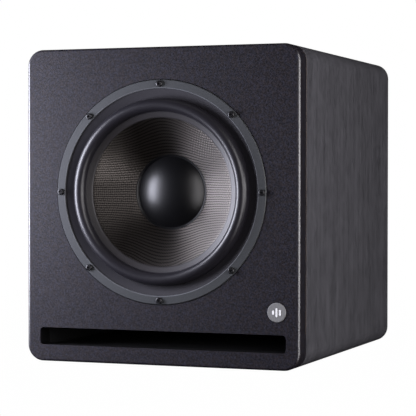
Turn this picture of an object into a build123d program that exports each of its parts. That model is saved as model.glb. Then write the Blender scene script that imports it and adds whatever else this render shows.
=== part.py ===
from build123d import *
import math
import os

# Active 10-inch subwoofer cabinet: a wrapped fibreboard box with a thick front baffle, a moving-coil driver,
# a slot port under it, and a plate amplifier in a sealed chamber at the back.
# Millimetres. X runs to the right, Y from the front to the back and Z up. The origin is at the centre of the
# overall footprint, on the surface that the feet stand on. "Depth" is measured back from the front face and
# "height" up from the underside of the box. On the amplifier plate, u runs to the right as seen from behind
# and v runs up, both from the plate's centre.

# Cabinet
CABINET_WIDTH = 350.0
CABINET_HEIGHT = 380.0
CABINET_DEPTH = 400.0
CORNER_RADIUS = 20.0
BAFFLE_THICKNESS = 24.0
BAFFLE_EDGE_RADIUS = 3.0
SEAM_CHAMFER = 0.8
SEAM_GAP = 1.0
PANEL_THICKNESS = 18.0
WRAP_THICKNESS = 0.5

# Slot port and bracing
SLOT_WIDTH = 316.0
SLOT_BOTTOM = 20.2
SLOT_TOP = 41.5
SLOT_RADIUS = 4.5
SHELF_THICKNESS = 15.0
SHELF_END_DEPTH = 290.0
BRACE_DEPTH = 190.0
BRACE_THICKNESS = 15.0
BRACE_BAR = 30.0
LINING_THICKNESS = 15.0
LINING_FRONT = 40.0
LINING_LENGTH = 135.0

# Feet
FOOT_HEIGHT = 5.0
FOOT_RADIUS = 15.0
FOOT_SPACING_X = 250.0
FOOT_SPACING_Y = 270.0

# Driver: every radius is from its axis, every depth from the baffle's front face
DRIVER_HEIGHT = 206.9
FLANGE_RADIUS = 134.0
FLANGE_PROUD = 1.0
FLANGE_THICKNESS = 9.5
RIM_INNER_RADIUS = 123.5
RIM_CHAMFER = 0.8
LEDGE_DEPTH = 6.5
LEDGE_INNER_RADIUS = 111.5
REBATE_RADIUS = 134.7
GASKET_THICKNESS = 1.0
CUTOUT_RADIUS = 122.0
SCREW_CIRCLE_RADIUS = 129.0
SCREW_COUNT = 8
STROKE = 8.0

ROLL_RADIUS = 7.6
ROLL_CENTRE_RADIUS = 104.1
ROLL_CREST_REACH = 8.1
SURROUND_THICKNESS = 1.0
TRIM_FRONT_DEPTH = 0.8
LIP_INNER_RADIUS = 88.9

CONE_RADIUS = 88.5
CONE_FRONT_DEPTH = 4.8
CONE_NECK_DEPTH = 51.0
CONE_THICKNESS = 1.4
LANDING_SLOPE = 0.5

CAP_FLANGE_RADIUS = 45.4
CAP_RADIUS = 42.6
CAP_BASE_DEPTH = 37.6
CAP_HEIGHT = 15.0
CAP_THICKNESS = 1.0

FORMER_RADIUS = 25.3
FORMER_WALL = 0.3
COIL_RADIUS = 26.1
SPIDER_DEPTH = 56.2
SPIDER_THICKNESS = 0.8
SPIDER_WAVES = 5
SPIDER_WAVE_HEIGHT = 1.6
SPIDER_WAVE_INNER = 31.0
SPIDER_WAVE_OUTER = 76.0
FRAME_BACK_DEPTH = 82.0
TOP_PLATE_THICKNESS = 8.0
MAGNET_THICKNESS = 22.0
BACK_PLATE_THICKNESS = 8.0
MAGNET_RADIUS = 70.0

# Amplifier
AMP_CENTRE_HEIGHT = 214.0
PLATE_WIDTH = 230.0
PLATE_HEIGHT = 276.0
PLATE_THICKNESS = 3.0
AMP_CUTOUT_WIDTH = 206.0
AMP_CUTOUT_HEIGHT = 252.0
CHAMBER_WIDTH = 240.0
CHAMBER_HEIGHT = 286.0
CHAMBER_DEPTH = 79.0
CHAMBER_WALL = 9.0
HEATSINK_REACH = 22.0
BOARD_DEPTH = 346.0

XLR_V = -34.0
XLR_INPUT_U = (-88.0, -54.0)
XLR_OUTPUT_U = (-14.0, 20.0)
RCA_U = (54.0, 76.0)
CONTROL_V = 8.0
VOLUME_U = -80.0
CROSSOVER_U = -40.0
PHASE_U = -4.0
LED_U = 28.0
INLET_CENTRE = (36.0, -96.0)
ROCKER_CENTRE = (86.0, -96.0)
TRANSFORMER_CENTRE = (-58.0, -86.0)

# Worked out from the above
ROLL_CENTRE_DEPTH = ROLL_RADIUS - ROLL_CREST_REACH
ROLL_ROOT_DEPTH = LEDGE_DEPTH - SURROUND_THICKNESS
Y_FRONT = (ROLL_CREST_REACH - CABINET_DEPTH - HEATSINK_REACH) / 2
CORE_WIDTH = CABINET_WIDTH - 2 * WRAP_THICKNESS
CORE_HEIGHT = CABINET_HEIGHT - 2 * WRAP_THICKNESS
CORE_RADIUS = CORNER_RADIUS - WRAP_THICKNESS
BODY_LENGTH = CABINET_DEPTH - BAFFLE_THICKNESS
CAVITY_WIDTH = CORE_WIDTH - 2 * PANEL_THICKNESS
CAVITY_BOTTOM = WRAP_THICKNESS + PANEL_THICKNESS
CAVITY_TOP = CABINET_HEIGHT - CAVITY_BOTTOM
CAVITY_HEIGHT = CAVITY_TOP - CAVITY_BOTTOM
CABINET_MIDDLE = (0, CABINET_HEIGHT / 2)
SHELF_TOP = SLOT_TOP + SHELF_THICKNESS
REBATE_DEPTH = FLANGE_THICKNESS - FLANGE_PROUD + GASKET_THICKNESS
CONE_SLOPE = (CONE_NECK_DEPTH - CONE_FRONT_DEPTH) / (CONE_RADIUS - FORMER_RADIUS)
GAP_DEPTH = FRAME_BACK_DEPTH + TOP_PLATE_THICKNESS
MAGNET_BACK_DEPTH = GAP_DEPTH + MAGNET_THICKNESS
MOTOR_BACK_DEPTH = MAGNET_BACK_DEPTH + BACK_PLATE_THICKNESS
PANEL_INSIDE_DEPTH = CABINET_DEPTH - PANEL_THICKNESS
PLATE_INSIDE_DEPTH = CABINET_DEPTH - PLATE_THICKNESS
CHAMBER_FRONT_DEPTH = PANEL_INSIDE_DEPTH - CHAMBER_DEPTH

DRIVER_CENTRE = (0, Y_FRONT, FOOT_HEIGHT + DRIVER_HEIGHT)
DRIVER_AXIS = Axis(DRIVER_CENTRE, (0, 1, 0))
DRIVER_SECTION = Plane(origin=DRIVER_CENTRE, x_dir=(1, 0, 0), z_dir=(0, 0, 1))


def cabinet_plane(depth):
    """Across the cabinet, facing forward: x to the right, y the height above the underside."""
    return Plane(origin=(0, Y_FRONT + depth, FOOT_HEIGHT), x_dir=(1, 0, 0), z_dir=(0, -1, 0))


def driver_plane(depth):
    """Across the driver's axis, facing forward."""
    return Plane(origin=(0, Y_FRONT + depth, DRIVER_CENTRE[2]), x_dir=(1, 0, 0), z_dir=(0, -1, 0))


def amp_plane(depth):
    """Across the amplifier plate, facing backward: u and v from the plate's centre."""
    centre = (0, Y_FRONT + depth, FOOT_HEIGHT + AMP_CENTRE_HEIGHT)
    return Plane(origin=centre, x_dir=(-1, 0, 0), z_dir=(0, 1, 0))


def block(plane, centre, size, length, radius=0.0, mode=Mode.ADD):
    """Adds or cuts a rectangular bar, with rounded corners where a radius is given."""
    with BuildSketch(plane) as outline:
        with Locations(centre):
            if radius:
                RectangleRounded(size[0], size[1], radius)
            else:
                Rectangle(size[0], size[1])
    extrude(outline.sketch, amount=length, mode=mode)


def disc(plane, centres, radius, length, mode=Mode.ADD):
    """Adds or cuts one round bar at each centre."""
    with BuildSketch(plane) as outline:
        with Locations(*centres):
            Circle(radius)
    extrude(outline.sketch, amount=length, mode=mode)


def turned(corners):
    """Adds the solid that a closed outline of (radius, depth) corners sweeps round the driver's axis."""
    with BuildSketch(DRIVER_SECTION) as section:
        with BuildLine():
            Polyline(*corners, close=True)
        make_face()
    revolve(section.sketch, axis=DRIVER_AXIS)


def around(radius, count, first_angle=0.0):
    """Points spread evenly on a circle."""
    angles = [first_angle + 360.0 * index / count for index in range(count)]
    return [(radius * math.cos(math.radians(a)), radius * math.sin(math.radians(a))) for a in angles]


def cone_front(radius):
    """Depth of the cone's front surface at a radius inside the surround's lip."""
    return CONE_FRONT_DEPTH + (CONE_RADIUS - radius) * CONE_SLOPE


def landing(radius):
    """Depth of the flatter rim of the cone that the surround's lip is glued to."""
    return CONE_FRONT_DEPTH - (radius - CONE_RADIUS) * LANDING_SLOPE


def cord_tube(points, diameter):
    """Adds a cord's tube: straight runs joined by tangent arcs as large as the runs allow."""
    knots = [Vector(*point) for point in points]
    radii = []
    for before, corner, after in zip(knots, knots[1:], knots[2:]):
        turn = math.radians((corner - before).get_angle(after - corner))
        shorter = min((corner - before).length, (after - corner).length)
        radii.append(0.45 * shorter / math.tan(turn / 2))
    print("cord radii", [round(radius, 1) for radius in radii])
    with BuildLine() as route:
        FilletPolyline(*knots, radius=radii)
    with BuildSketch(Plane(origin=route.line @ 0, z_dir=route.line % 0)) as section:
        Circle(diameter / 2)
    sweep(section.sketch, path=route.line)


# ---------------------------------------------------------------- cabinet


def foot_places():
    """Height-free (x, y) centres of the four feet."""
    middle = Y_FRONT + CABINET_DEPTH / 2
    return [
        (x * FOOT_SPACING_X / 2, middle + y * FOOT_SPACING_Y / 2) for x in (-1, 1) for y in (-1, 1)
    ]


FOOT_SCREW_RADIUS = 2.0
FOOT_RECESS_RADIUS = 5.0
FOOT_RECESS_DEPTH = 2.5
FOOT_SCREW_LENGTH = 16.5
BADGE_CENTRE = (146.9, 67.8)
BADGE_RADIUS = 11.4
BADGE_RECESS = 1.0
SCREW_SHANK_RADIUS = 2.0
SCREW_END_DEPTH = 22.0
AMP_SCREW_RADIUS = 1.6
AMP_SCREW_PLACES = [(u, v) for u in (-107, 107) for v in (-130, -43, 43, 130)] + [(0, -130), (0, 130)]

# Front baffle: driver cut-out with its rebate, slot mouth, badge recess and pilot holes
with BuildPart() as front_baffle:
    block(cabinet_plane(0), CABINET_MIDDLE, (CABINET_WIDTH, CABINET_HEIGHT), -BAFFLE_THICKNESS, CORNER_RADIUS)
    fillet(front_baffle.faces().sort_by(Axis.Y)[0].edges(), BAFFLE_EDGE_RADIUS)
    chamfer(front_baffle.faces().sort_by(Axis.Y)[-1].edges(), SEAM_CHAMFER)
    disc(driver_plane(0), [(0, 0)], REBATE_RADIUS, -REBATE_DEPTH, Mode.SUBTRACT)
    disc(driver_plane(0), [(0, 0)], CUTOUT_RADIUS, -BAFFLE_THICKNESS, Mode.SUBTRACT)
    screw_places = around(SCREW_CIRCLE_RADIUS, SCREW_COUNT)
    disc(driver_plane(0), screw_places, SCREW_SHANK_RADIUS, -SCREW_END_DEPTH, Mode.SUBTRACT)
    slot_middle = (0, (SLOT_BOTTOM + SLOT_TOP) / 2)
    slot_size = (SLOT_WIDTH, SLOT_TOP - SLOT_BOTTOM)
    block(cabinet_plane(0), slot_middle, slot_size, -BAFFLE_THICKNESS, SLOT_RADIUS, Mode.SUBTRACT)
    disc(cabinet_plane(0), [BADGE_CENTRE], BADGE_RADIUS + 0.1, -BADGE_RECESS, Mode.SUBTRACT)


def body_board(centre, size):
    """A board of the box behind the baffle, cut to the rounded outline that the wrap covers."""
    with BuildPart() as board:
        with BuildSketch(cabinet_plane(BAFFLE_THICKNESS)):
            with Locations(CABINET_MIDDLE):
                RectangleRounded(CORE_WIDTH, CORE_HEIGHT, CORE_RADIUS)
            with Locations(centre):
                Rectangle(size[0], size[1], mode=Mode.INTERSECT)
        extrude(amount=-BODY_LENGTH)
    return board


# Side panels run the full height, the top and bottom panels lie between them
side_offset = (CORE_WIDTH - PANEL_THICKNESS) / 2
left_side_panel = body_board((-side_offset, CABINET_MIDDLE[1]), (PANEL_THICKNESS, CORE_HEIGHT))
right_side_panel = body_board((side_offset, CABINET_MIDDLE[1]), (PANEL_THICKNESS, CORE_HEIGHT))
top_panel = body_board((0, CAVITY_TOP + PANEL_THICKNESS / 2), (CAVITY_WIDTH, PANEL_THICKNESS))
bottom_panel = body_board((0, CAVITY_BOTTOM - PANEL_THICKNESS / 2), (CAVITY_WIDTH, PANEL_THICKNESS))
with bottom_panel:
    disc(Plane.XY, foot_places(), FOOT_SCREW_RADIUS, FOOT_RECESS_DEPTH + FOOT_SCREW_LENGTH, Mode.SUBTRACT)

# Rear panel: rebate for the amplifier plate, cut-out for what hangs behind it
with BuildPart() as rear_panel:
    cavity_middle = (0, (CAVITY_BOTTOM + CAVITY_TOP) / 2)
    block(cabinet_plane(PANEL_INSIDE_DEPTH), cavity_middle, (CAVITY_WIDTH, CAVITY_HEIGHT), -PANEL_THICKNESS)
    rebate = (PLATE_WIDTH + 1, PLATE_HEIGHT + 1)
    block(amp_plane(CABINET_DEPTH), (0, 0), rebate, -(PLATE_THICKNESS + 1), 4.5, Mode.SUBTRACT)
    cutout = (AMP_CUTOUT_WIDTH, AMP_CUTOUT_HEIGHT)
    block(amp_plane(CABINET_DEPTH), (0, 0), cutout, -PANEL_THICKNESS, 3.0, Mode.SUBTRACT)
    disc(amp_plane(CABINET_DEPTH), AMP_SCREW_PLACES, AMP_SCREW_RADIUS, -14.0, Mode.SUBTRACT)

# Port shelf: the slot's ceiling, rounded at its inner end
with BuildPart() as port_shelf:
    shelf_middle = (0, SLOT_TOP + SHELF_THICKNESS / 2)
    shelf_length = SHELF_END_DEPTH - BAFFLE_THICKNESS
    block(cabinet_plane(BAFFLE_THICKNESS), shelf_middle, (CAVITY_WIDTH, SHELF_THICKNESS), -shelf_length)
    fillet(port_shelf.faces().sort_by(Axis.Y)[-1].edges().filter_by(Axis.X), SHELF_THICKNESS / 2 - 0.5)

# Window brace between the side panels, behind the driver's magnet
with BuildPart() as window_brace:
    brace_height = CAVITY_TOP - SHELF_TOP
    brace_middle = (0, (CAVITY_TOP + SHELF_TOP) / 2)
    block(cabinet_plane(BRACE_DEPTH), brace_middle, (CAVITY_WIDTH, brace_height), -BRACE_THICKNESS)
    window_width = (CAVITY_WIDTH - 3 * BRACE_BAR) / 2
    window_height = (brace_height - 3 * BRACE_BAR) / 2
    with BuildSketch(cabinet_plane(BRACE_DEPTH)):
        with Locations(brace_middle):
            with GridLocations(window_width + BRACE_BAR, window_height + BRACE_BAR, 2, 2):
                RectangleRounded(window_width, window_height, 12)
    extrude(amount=-BRACE_THICKNESS, mode=Mode.SUBTRACT)

# Vinyl wrap: one skin round the box behind the baffle, set back to leave the seam
with BuildPart() as vinyl_wrap:
    wrap_depth = BAFFLE_THICKNESS + SEAM_GAP
    with BuildSketch(cabinet_plane(wrap_depth)):
        with Locations(CABINET_MIDDLE):
            RectangleRounded(CABINET_WIDTH, CABINET_HEIGHT, CORNER_RADIUS)
            RectangleRounded(CORE_WIDTH, CORE_HEIGHT, CORE_RADIUS, mode=Mode.SUBTRACT)
    extrude(amount=wrap_depth - CABINET_DEPTH)
    disc(Plane.XY, foot_places(), FOOT_SCREW_RADIUS, 2 * FOOT_HEIGHT, Mode.SUBTRACT)

# Damping mats on the side walls and under the top panel, in front of the brace
with BuildPart() as acoustic_lining:
    mat_height = 270.0
    mat_offset = (CAVITY_WIDTH - LINING_THICKNESS) / 2
    for side in (-1, 1):
        mat_middle = (side * mat_offset, SHELF_TOP + 18 + mat_height / 2)
        block(cabinet_plane(LINING_FRONT), mat_middle, (LINING_THICKNESS, mat_height), -LINING_LENGTH)
    top_mat_middle = (0, CAVITY_TOP - LINING_THICKNESS / 2)
    block(cabinet_plane(LINING_FRONT), top_mat_middle, (240, LINING_THICKNESS), -LINING_LENGTH)

# Four rubber feet, each with a recess for its screw
with BuildPart() as rubber_feet:
    with BuildSketch(Plane.XY):
        with Locations(*foot_places()):
            Circle(FOOT_RADIUS)
    extrude(amount=FOOT_HEIGHT)
    chamfer(rubber_feet.faces().filter_by(Axis.Z).group_by(Axis.Z)[0].edges(), 1.2)
    disc(Plane.XY, foot_places(), FOOT_SCREW_RADIUS + 0.1, FOOT_HEIGHT, Mode.SUBTRACT)
    disc(Plane.XY, foot_places(), FOOT_RECESS_RADIUS, FOOT_RECESS_DEPTH, Mode.SUBTRACT)

# Four wood screws that hold the feet
with BuildPart() as foot_screws:
    disc(Plane.XY.offset(FOOT_RECESS_DEPTH), foot_places(), FOOT_SCREW_RADIUS, FOOT_SCREW_LENGTH)
    disc(Plane.XY.offset(FOOT_RECESS_DEPTH), foot_places(), 4.0, -2.0)
    for width, length in ((4.4, 0.9), (0.9, 4.4)):
        with BuildSketch(Plane.XY.offset(FOOT_RECESS_DEPTH - 2.0)):
            with Locations(*foot_places()):
                Rectangle(width, length)
        extrude(amount=1.0, mode=Mode.SUBTRACT)

# Round badge with a plain mark of three bars
BADGE_THICKNESS = 1.9
BADGE_FACE_DEPTH = BADGE_RECESS - BADGE_THICKNESS
MARK_BARS = ((-4.2, 5.0), (0.0, 10.5), (4.2, 7.0))
with BuildPart() as badge_disc:
    disc(cabinet_plane(BADGE_RECESS), [BADGE_CENTRE], BADGE_RADIUS, BADGE_THICKNESS)
    fillet(badge_disc.faces().sort_by(Axis.Y)[0].edges(), 0.7)
with BuildPart() as badge_mark:
    for bar_x, bar_height in MARK_BARS:
        bar_centre = (BADGE_CENTRE[0] + bar_x, BADGE_CENTRE[1])
        block(cabinet_plane(BADGE_FACE_DEPTH), bar_centre, (2.4, bar_height), 0.4, 1.1)

# ---------------------------------------------------------------- driver

# Cast frame: flange, inner ledge, spoked basket, spider ledge and back plate
with BuildPart() as driver_frame:
    flange_back = FLANGE_THICKNESS - FLANGE_PROUD
    turned(
        [
            (FLANGE_RADIUS, RIM_CHAMFER - FLANGE_PROUD),
            (FLANGE_RADIUS - RIM_CHAMFER, -FLANGE_PROUD),
            (RIM_INNER_RADIUS + RIM_CHAMFER, -FLANGE_PROUD),
            (RIM_INNER_RADIUS, RIM_CHAMFER - FLANGE_PROUD),
            (RIM_INNER_RADIUS, LEDGE_DEPTH),
            (LEDGE_INNER_RADIUS, LEDGE_DEPTH),
            (LEDGE_INNER_RADIUS, 9.3),
            (109, 12.5),
            (87, SPIDER_DEPTH + SPIDER_THICKNESS),
            (SPIDER_WAVE_OUTER, SPIDER_DEPTH + SPIDER_THICKNESS),
            (SPIDER_WAVE_OUTER, 61),
            (66, 76),
            (30, 76),
            (30, FRAME_BACK_DEPTH),
            (69, FRAME_BACK_DEPTH),
            (80, 62),
            (91.5, 60),
            (91.5, 57),
            (113.5, 15),
            (121, 12.5),
            (121, flange_back),
            (FLANGE_RADIUS, flange_back),
        ]
    )
    with BuildSketch(driver_plane(16)):
        with PolarLocations(105, 12, start_angle=15):
            Rectangle(50, 36)
    extrude(amount=-36, mode=Mode.SUBTRACT)
    with BuildSketch(driver_plane(64)):
        with PolarLocations(74, 6, start_angle=30):
            Rectangle(24, 24)
    extrude(amount=-10, mode=Mode.SUBTRACT)
    block(driver_plane(50), (0, -92), (32, 8), -12)
    disc(driver_plane(-FLANGE_PROUD), screw_places, SCREW_SHANK_RADIUS + 0.4, -FLANGE_THICKNESS, Mode.SUBTRACT)

# Foam ring under the flange
with BuildPart() as driver_gasket:
    disc(driver_plane(flange_back), [(0, 0)], FLANGE_RADIUS, -GASKET_THICKNESS)
    disc(driver_plane(flange_back), [(0, 0)], CUTOUT_RADIUS + 0.5, -GASKET_THICKNESS, Mode.SUBTRACT)
    disc(driver_plane(flange_back), screw_places, SCREW_SHANK_RADIUS + 0.4, -GASKET_THICKNESS, Mode.SUBTRACT)

# Eight pan-head screws with cross recesses
with BuildPart() as driver_screws:
    disc(driver_plane(-FLANGE_PROUD), screw_places, 3.9, 3.0)
    fillet(driver_screws.faces().filter_by(Axis.Y).group_by(Axis.Y)[0].edges(), 1.4)
    disc(driver_plane(-FLANGE_PROUD), screw_places, SCREW_SHANK_RADIUS, -(SCREW_END_DEPTH + FLANGE_PROUD))
    for width, length in ((4.4, 0.9), (0.9, 4.4)):
        with BuildSketch(driver_plane(-FLANGE_PROUD - 3.0)):
            with Locations(*screw_places):
                Rectangle(width, length)
        extrude(amount=-1.6, mode=Mode.SUBTRACT)

# Dished trim ring glued over the surround's outer edge, sloping in from the flange to the roll
with BuildPart() as surround_gasket:
    trim_outer = RIM_INNER_RADIUS - 0.2
    trim_inner = ROLL_CENTRE_RADIUS + ROLL_RADIUS + 0.2
    turned(
        [
            (trim_outer, ROLL_ROOT_DEPTH),
            (trim_outer, TRIM_FRONT_DEPTH),
            (trim_inner, ROLL_ROOT_DEPTH - 0.6),
            (trim_inner, ROLL_ROOT_DEPTH),
        ]
    )

# Tall half-roll rubber surround: outer edge on the frame's ledge, inner lip on the cone's rim
with BuildPart() as surround:
    inner_roll = ROLL_RADIUS - SURROUND_THICKNESS
    rim_outer = ROLL_CENTRE_RADIUS - inner_roll
    lip_front = landing(LIP_INNER_RADIUS) - SURROUND_THICKNESS
    foot_front = landing(ROLL_CENTRE_RADIUS - ROLL_RADIUS) - SURROUND_THICKNESS
    outer_edge = RIM_INNER_RADIUS - 0.2

    def roll_arc(size, first, last):
        """The roll's half circle at one of its two sizes."""
        ends = [(ROLL_CENTRE_RADIUS + side * size, ROLL_CENTRE_DEPTH) for side in (first, last)]
        ThreePointArc(ends[0], (ROLL_CENTRE_RADIUS, ROLL_CENTRE_DEPTH - size), ends[1])

    with BuildSketch(DRIVER_SECTION):
        with BuildLine():
            Polyline(
                (outer_edge, LEDGE_DEPTH),
                (outer_edge, ROLL_ROOT_DEPTH),
                (ROLL_CENTRE_RADIUS + ROLL_RADIUS, ROLL_ROOT_DEPTH),
                (ROLL_CENTRE_RADIUS + ROLL_RADIUS, ROLL_CENTRE_DEPTH),
            )
            roll_arc(ROLL_RADIUS, 1, -1)
            Polyline(
                (ROLL_CENTRE_RADIUS - ROLL_RADIUS, ROLL_CENTRE_DEPTH),
                (ROLL_CENTRE_RADIUS - ROLL_RADIUS, foot_front),
                (LIP_INNER_RADIUS, lip_front),
                (LIP_INNER_RADIUS, landing(LIP_INNER_RADIUS)),
                (rim_outer, landing(rim_outer)),
                (rim_outer, ROLL_CENTRE_DEPTH),
            )
            roll_arc(inner_roll, -1, 1)
            Polyline(
                (ROLL_CENTRE_RADIUS + inner_roll, ROLL_CENTRE_DEPTH),
                (ROLL_CENTRE_RADIUS + inner_roll, LEDGE_DEPTH),
                (outer_edge, LEDGE_DEPTH),
            )
        make_face()
    revolve(axis=DRIVER_AXIS)

# Straight-sided cone with a flatter rim
with BuildPart() as cone:
    turned(
        [
            (rim_outer, landing(rim_outer)),
            (CONE_RADIUS, CONE_FRONT_DEPTH),
            (FORMER_RADIUS, CONE_NECK_DEPTH),
            (FORMER_RADIUS, CONE_NECK_DEPTH + CONE_THICKNESS),
            (CONE_RADIUS, CONE_FRONT_DEPTH + CONE_THICKNESS),
            (rim_outer, landing(rim_outer) + CONE_THICKNESS),
        ]
    )

# Domed dust cap with a narrow flange on the cone
with BuildPart() as dust_cap:
    apex_depth = CAP_BASE_DEPTH - CAP_HEIGHT
    dome_radius = (CAP_RADIUS**2 + CAP_HEIGHT**2) / (2 * CAP_HEIGHT)
    half_way = CAP_RADIUS / 2
    half_way_depth = apex_depth + dome_radius - math.sqrt(dome_radius**2 - half_way**2)
    wall_inner = CAP_RADIUS - CAP_THICKNESS
    with BuildSketch(DRIVER_SECTION):
        with BuildLine():
            Line((CAP_FLANGE_RADIUS, cone_front(CAP_FLANGE_RADIUS) - CAP_THICKNESS), (CAP_RADIUS, CAP_BASE_DEPTH))
            ThreePointArc((CAP_RADIUS, CAP_BASE_DEPTH), (half_way, half_way_depth), (0, apex_depth))
            Line((0, apex_depth), (0, apex_depth + CAP_THICKNESS))
            ThreePointArc(
                (0, apex_depth + CAP_THICKNESS),
                (half_way, half_way_depth + CAP_THICKNESS),
                (wall_inner, CAP_BASE_DEPTH + CAP_THICKNESS),
            )
            Polyline(
                (wall_inner, CAP_BASE_DEPTH + CAP_THICKNESS),
                (wall_inner, cone_front(wall_inner)),
                (CAP_FLANGE_RADIUS, cone_front(CAP_FLANGE_RADIUS)),
                (CAP_FLANGE_RADIUS, cone_front(CAP_FLANGE_RADIUS) - CAP_THICKNESS),
            )
        make_face()
    revolve(axis=DRIVER_AXIS)

# Voice coil: a thin former from the cone's neck into the gap, with the winding on its end
COIL_FRONT_DEPTH = 74.0
COIL_BACK_DEPTH = 98.0
FORMER_FRONT_DEPTH = 48.0
former_inner = FORMER_RADIUS - FORMER_WALL
with BuildPart() as voice_coil_former:
    former_length = COIL_BACK_DEPTH - FORMER_FRONT_DEPTH
    disc(driver_plane(FORMER_FRONT_DEPTH), [(0, 0)], FORMER_RADIUS, -former_length)
    disc(driver_plane(FORMER_FRONT_DEPTH), [(0, 0)], former_inner, -former_length, Mode.SUBTRACT)
with BuildPart() as voice_coil:
    coil_length = COIL_BACK_DEPTH - COIL_FRONT_DEPTH
    disc(driver_plane(COIL_FRONT_DEPTH), [(0, 0)], COIL_RADIUS, -coil_length)
    disc(driver_plane(COIL_FRONT_DEPTH), [(0, 0)], FORMER_RADIUS, -coil_length, Mode.SUBTRACT)


def spider_wave(depth):
    """Points of the spider's corrugation, four to a wave."""
    steps = 4 * SPIDER_WAVES
    span = SPIDER_WAVE_OUTER - SPIDER_WAVE_INNER
    return [
        (SPIDER_WAVE_INNER + span * step / steps, depth - SPIDER_WAVE_HEIGHT * math.sin(step * math.pi / 2))
        for step in range(steps + 1)
    ]


# Corrugated spider: collar round the former, outer edge on the frame's inner ledge
with BuildPart() as spider:
    spider_back = SPIDER_DEPTH + SPIDER_THICKNESS
    spider_edge = 86.5
    with BuildSketch(DRIVER_SECTION):
        with BuildLine():
            Line((FORMER_RADIUS, SPIDER_DEPTH), (SPIDER_WAVE_INNER, SPIDER_DEPTH))
            Spline(*spider_wave(SPIDER_DEPTH))
            Polyline(
                (SPIDER_WAVE_OUTER, SPIDER_DEPTH),
                (spider_edge, SPIDER_DEPTH),
                (spider_edge, spider_back),
                (SPIDER_WAVE_OUTER, spider_back),
            )
            Spline(*spider_wave(spider_back))
            Polyline((SPIDER_WAVE_INNER, spider_back), (FORMER_RADIUS, spider_back), (FORMER_RADIUS, SPIDER_DEPTH))
        make_face()
    revolve(axis=DRIVER_AXIS)

# Motor: top plate, ferrite ring, vented pole with its back plate, and a rubber boot
with BuildPart() as top_plate:
    disc(driver_plane(FRAME_BACK_DEPTH), [(0, 0)], 58.0, -TOP_PLATE_THICKNESS)
    disc(driver_plane(FRAME_BACK_DEPTH), [(0, 0)], 26.7, -TOP_PLATE_THICKNESS, Mode.SUBTRACT)
with BuildPart() as magnet:
    disc(driver_plane(GAP_DEPTH), [(0, 0)], MAGNET_RADIUS, -MAGNET_THICKNESS)
    disc(driver_plane(GAP_DEPTH), [(0, 0)], 31.0, -MAGNET_THICKNESS, Mode.SUBTRACT)
with BuildPart() as pole_piece:
    pole_front = FRAME_BACK_DEPTH - 2.0
    disc(driver_plane(pole_front), [(0, 0)], 24.4, pole_front - MAGNET_BACK_DEPTH)
    disc(driver_plane(MAGNET_BACK_DEPTH), [(0, 0)], 60.0, -BACK_PLATE_THICKNESS)
    disc(driver_plane(pole_front), [(0, 0)], 9.0, pole_front - MOTOR_BACK_DEPTH, Mode.SUBTRACT)
with BuildPart() as magnet_boot:
    turned(
        [
            (MAGNET_RADIUS, GAP_DEPTH),
            (MAGNET_RADIUS + 2, GAP_DEPTH),
            (MAGNET_RADIUS + 2, MOTOR_BACK_DEPTH),
            (MAGNET_RADIUS + 0.5, MOTOR_BACK_DEPTH + 1.5),
            (48, MOTOR_BACK_DEPTH + 1.5),
            (48, MOTOR_BACK_DEPTH),
            (MAGNET_RADIUS, MOTOR_BACK_DEPTH),
        ]
    )

# Terminal block on the frame's pad, with two raised tags at its ends
TERMINAL_FRONT = 50.0
TERMINAL_BACK = 70.0
TERMINAL_MIDDLE = -98.0
LEAD_X = 17.0
with BuildPart() as terminal_block:
    terminal_length = TERMINAL_BACK - TERMINAL_FRONT
    block(driver_plane(TERMINAL_FRONT), (0, TERMINAL_MIDDLE), (42, 4), -terminal_length)
    for side in (-1, 1):
        tag_centre = (side * LEAD_X, TERMINAL_MIDDLE - 3.0)
        block(driver_plane(TERMINAL_FRONT + 3), tag_centre, (4.8, 2.0), 6 - terminal_length)


def driver_point(x, height, depth):
    """A point given from the driver's axis and the baffle's face."""
    return (x, Y_FRONT + depth, DRIVER_CENTRE[2] + height)


# Two braided leads from the terminal block to the back of the cone
with BuildPart() as tinsel_leads:
    for side in (-1, 1):
        cord_tube(
            [
                driver_point(side * LEAD_X, TERMINAL_MIDDLE, TERMINAL_FRONT),
                driver_point(side * LEAD_X, TERMINAL_MIDDLE, 37),
                driver_point(side * 15, -84, 28),
                driver_point(side * 12, -67, 34.5),
                driver_point(side * 10, -53, 42),
                driver_point(side * 9, -44.5, 39.3),
            ],
            1.6,
        )

# Speaker lead: terminal block, clip on the brace, grommet, header on the amplifier board
LEAD_DIAMETER = 5.0
CLIP_X = 40.0
CLIP_HEIGHT = SHELF_TOP + BRACE_BAR + 5.0
GROMMET_X = 48.0
GROMMET_HEIGHT = 104.0
HEADER_DEPTH = 334.0


def cabinet_point(x, height, depth):
    """A point given from the cabinet's underside and front face."""
    return (x, Y_FRONT + depth, FOOT_HEIGHT + height)


with BuildPart() as speaker_lead:
    cord_tube(
        [
            cabinet_point(0, DRIVER_HEIGHT + TERMINAL_MIDDLE, TERMINAL_BACK),
            cabinet_point(0, DRIVER_HEIGHT + TERMINAL_MIDDLE, 106),
            cabinet_point(14, 101, 138),
            cabinet_point(CLIP_X, CLIP_HEIGHT, 166),
            cabinet_point(CLIP_X, CLIP_HEIGHT, 232),
            cabinet_point(GROMMET_X, GROMMET_HEIGHT, 278),
            cabinet_point(GROMMET_X, GROMMET_HEIGHT, HEADER_DEPTH),
        ],
        LEAD_DIAMETER,
    )

# Saddle clip on the brace's lower bar
with BuildPart() as lead_clip:
    block(cabinet_plane(BRACE_DEPTH), (CLIP_X, CLIP_HEIGHT), (14, 10), -BRACE_THICKNESS, 2.0)
    block(cabinet_plane(BRACE_DEPTH), (CLIP_X, CLIP_HEIGHT - 4), (14, 2), -BRACE_THICKNESS)
    disc(cabinet_plane(BRACE_DEPTH), [(CLIP_X, CLIP_HEIGHT)], LEAD_DIAMETER / 2 + 0.05, -BRACE_THICKNESS, Mode.SUBTRACT)

# ---------------------------------------------------------------- amplifier

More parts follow.
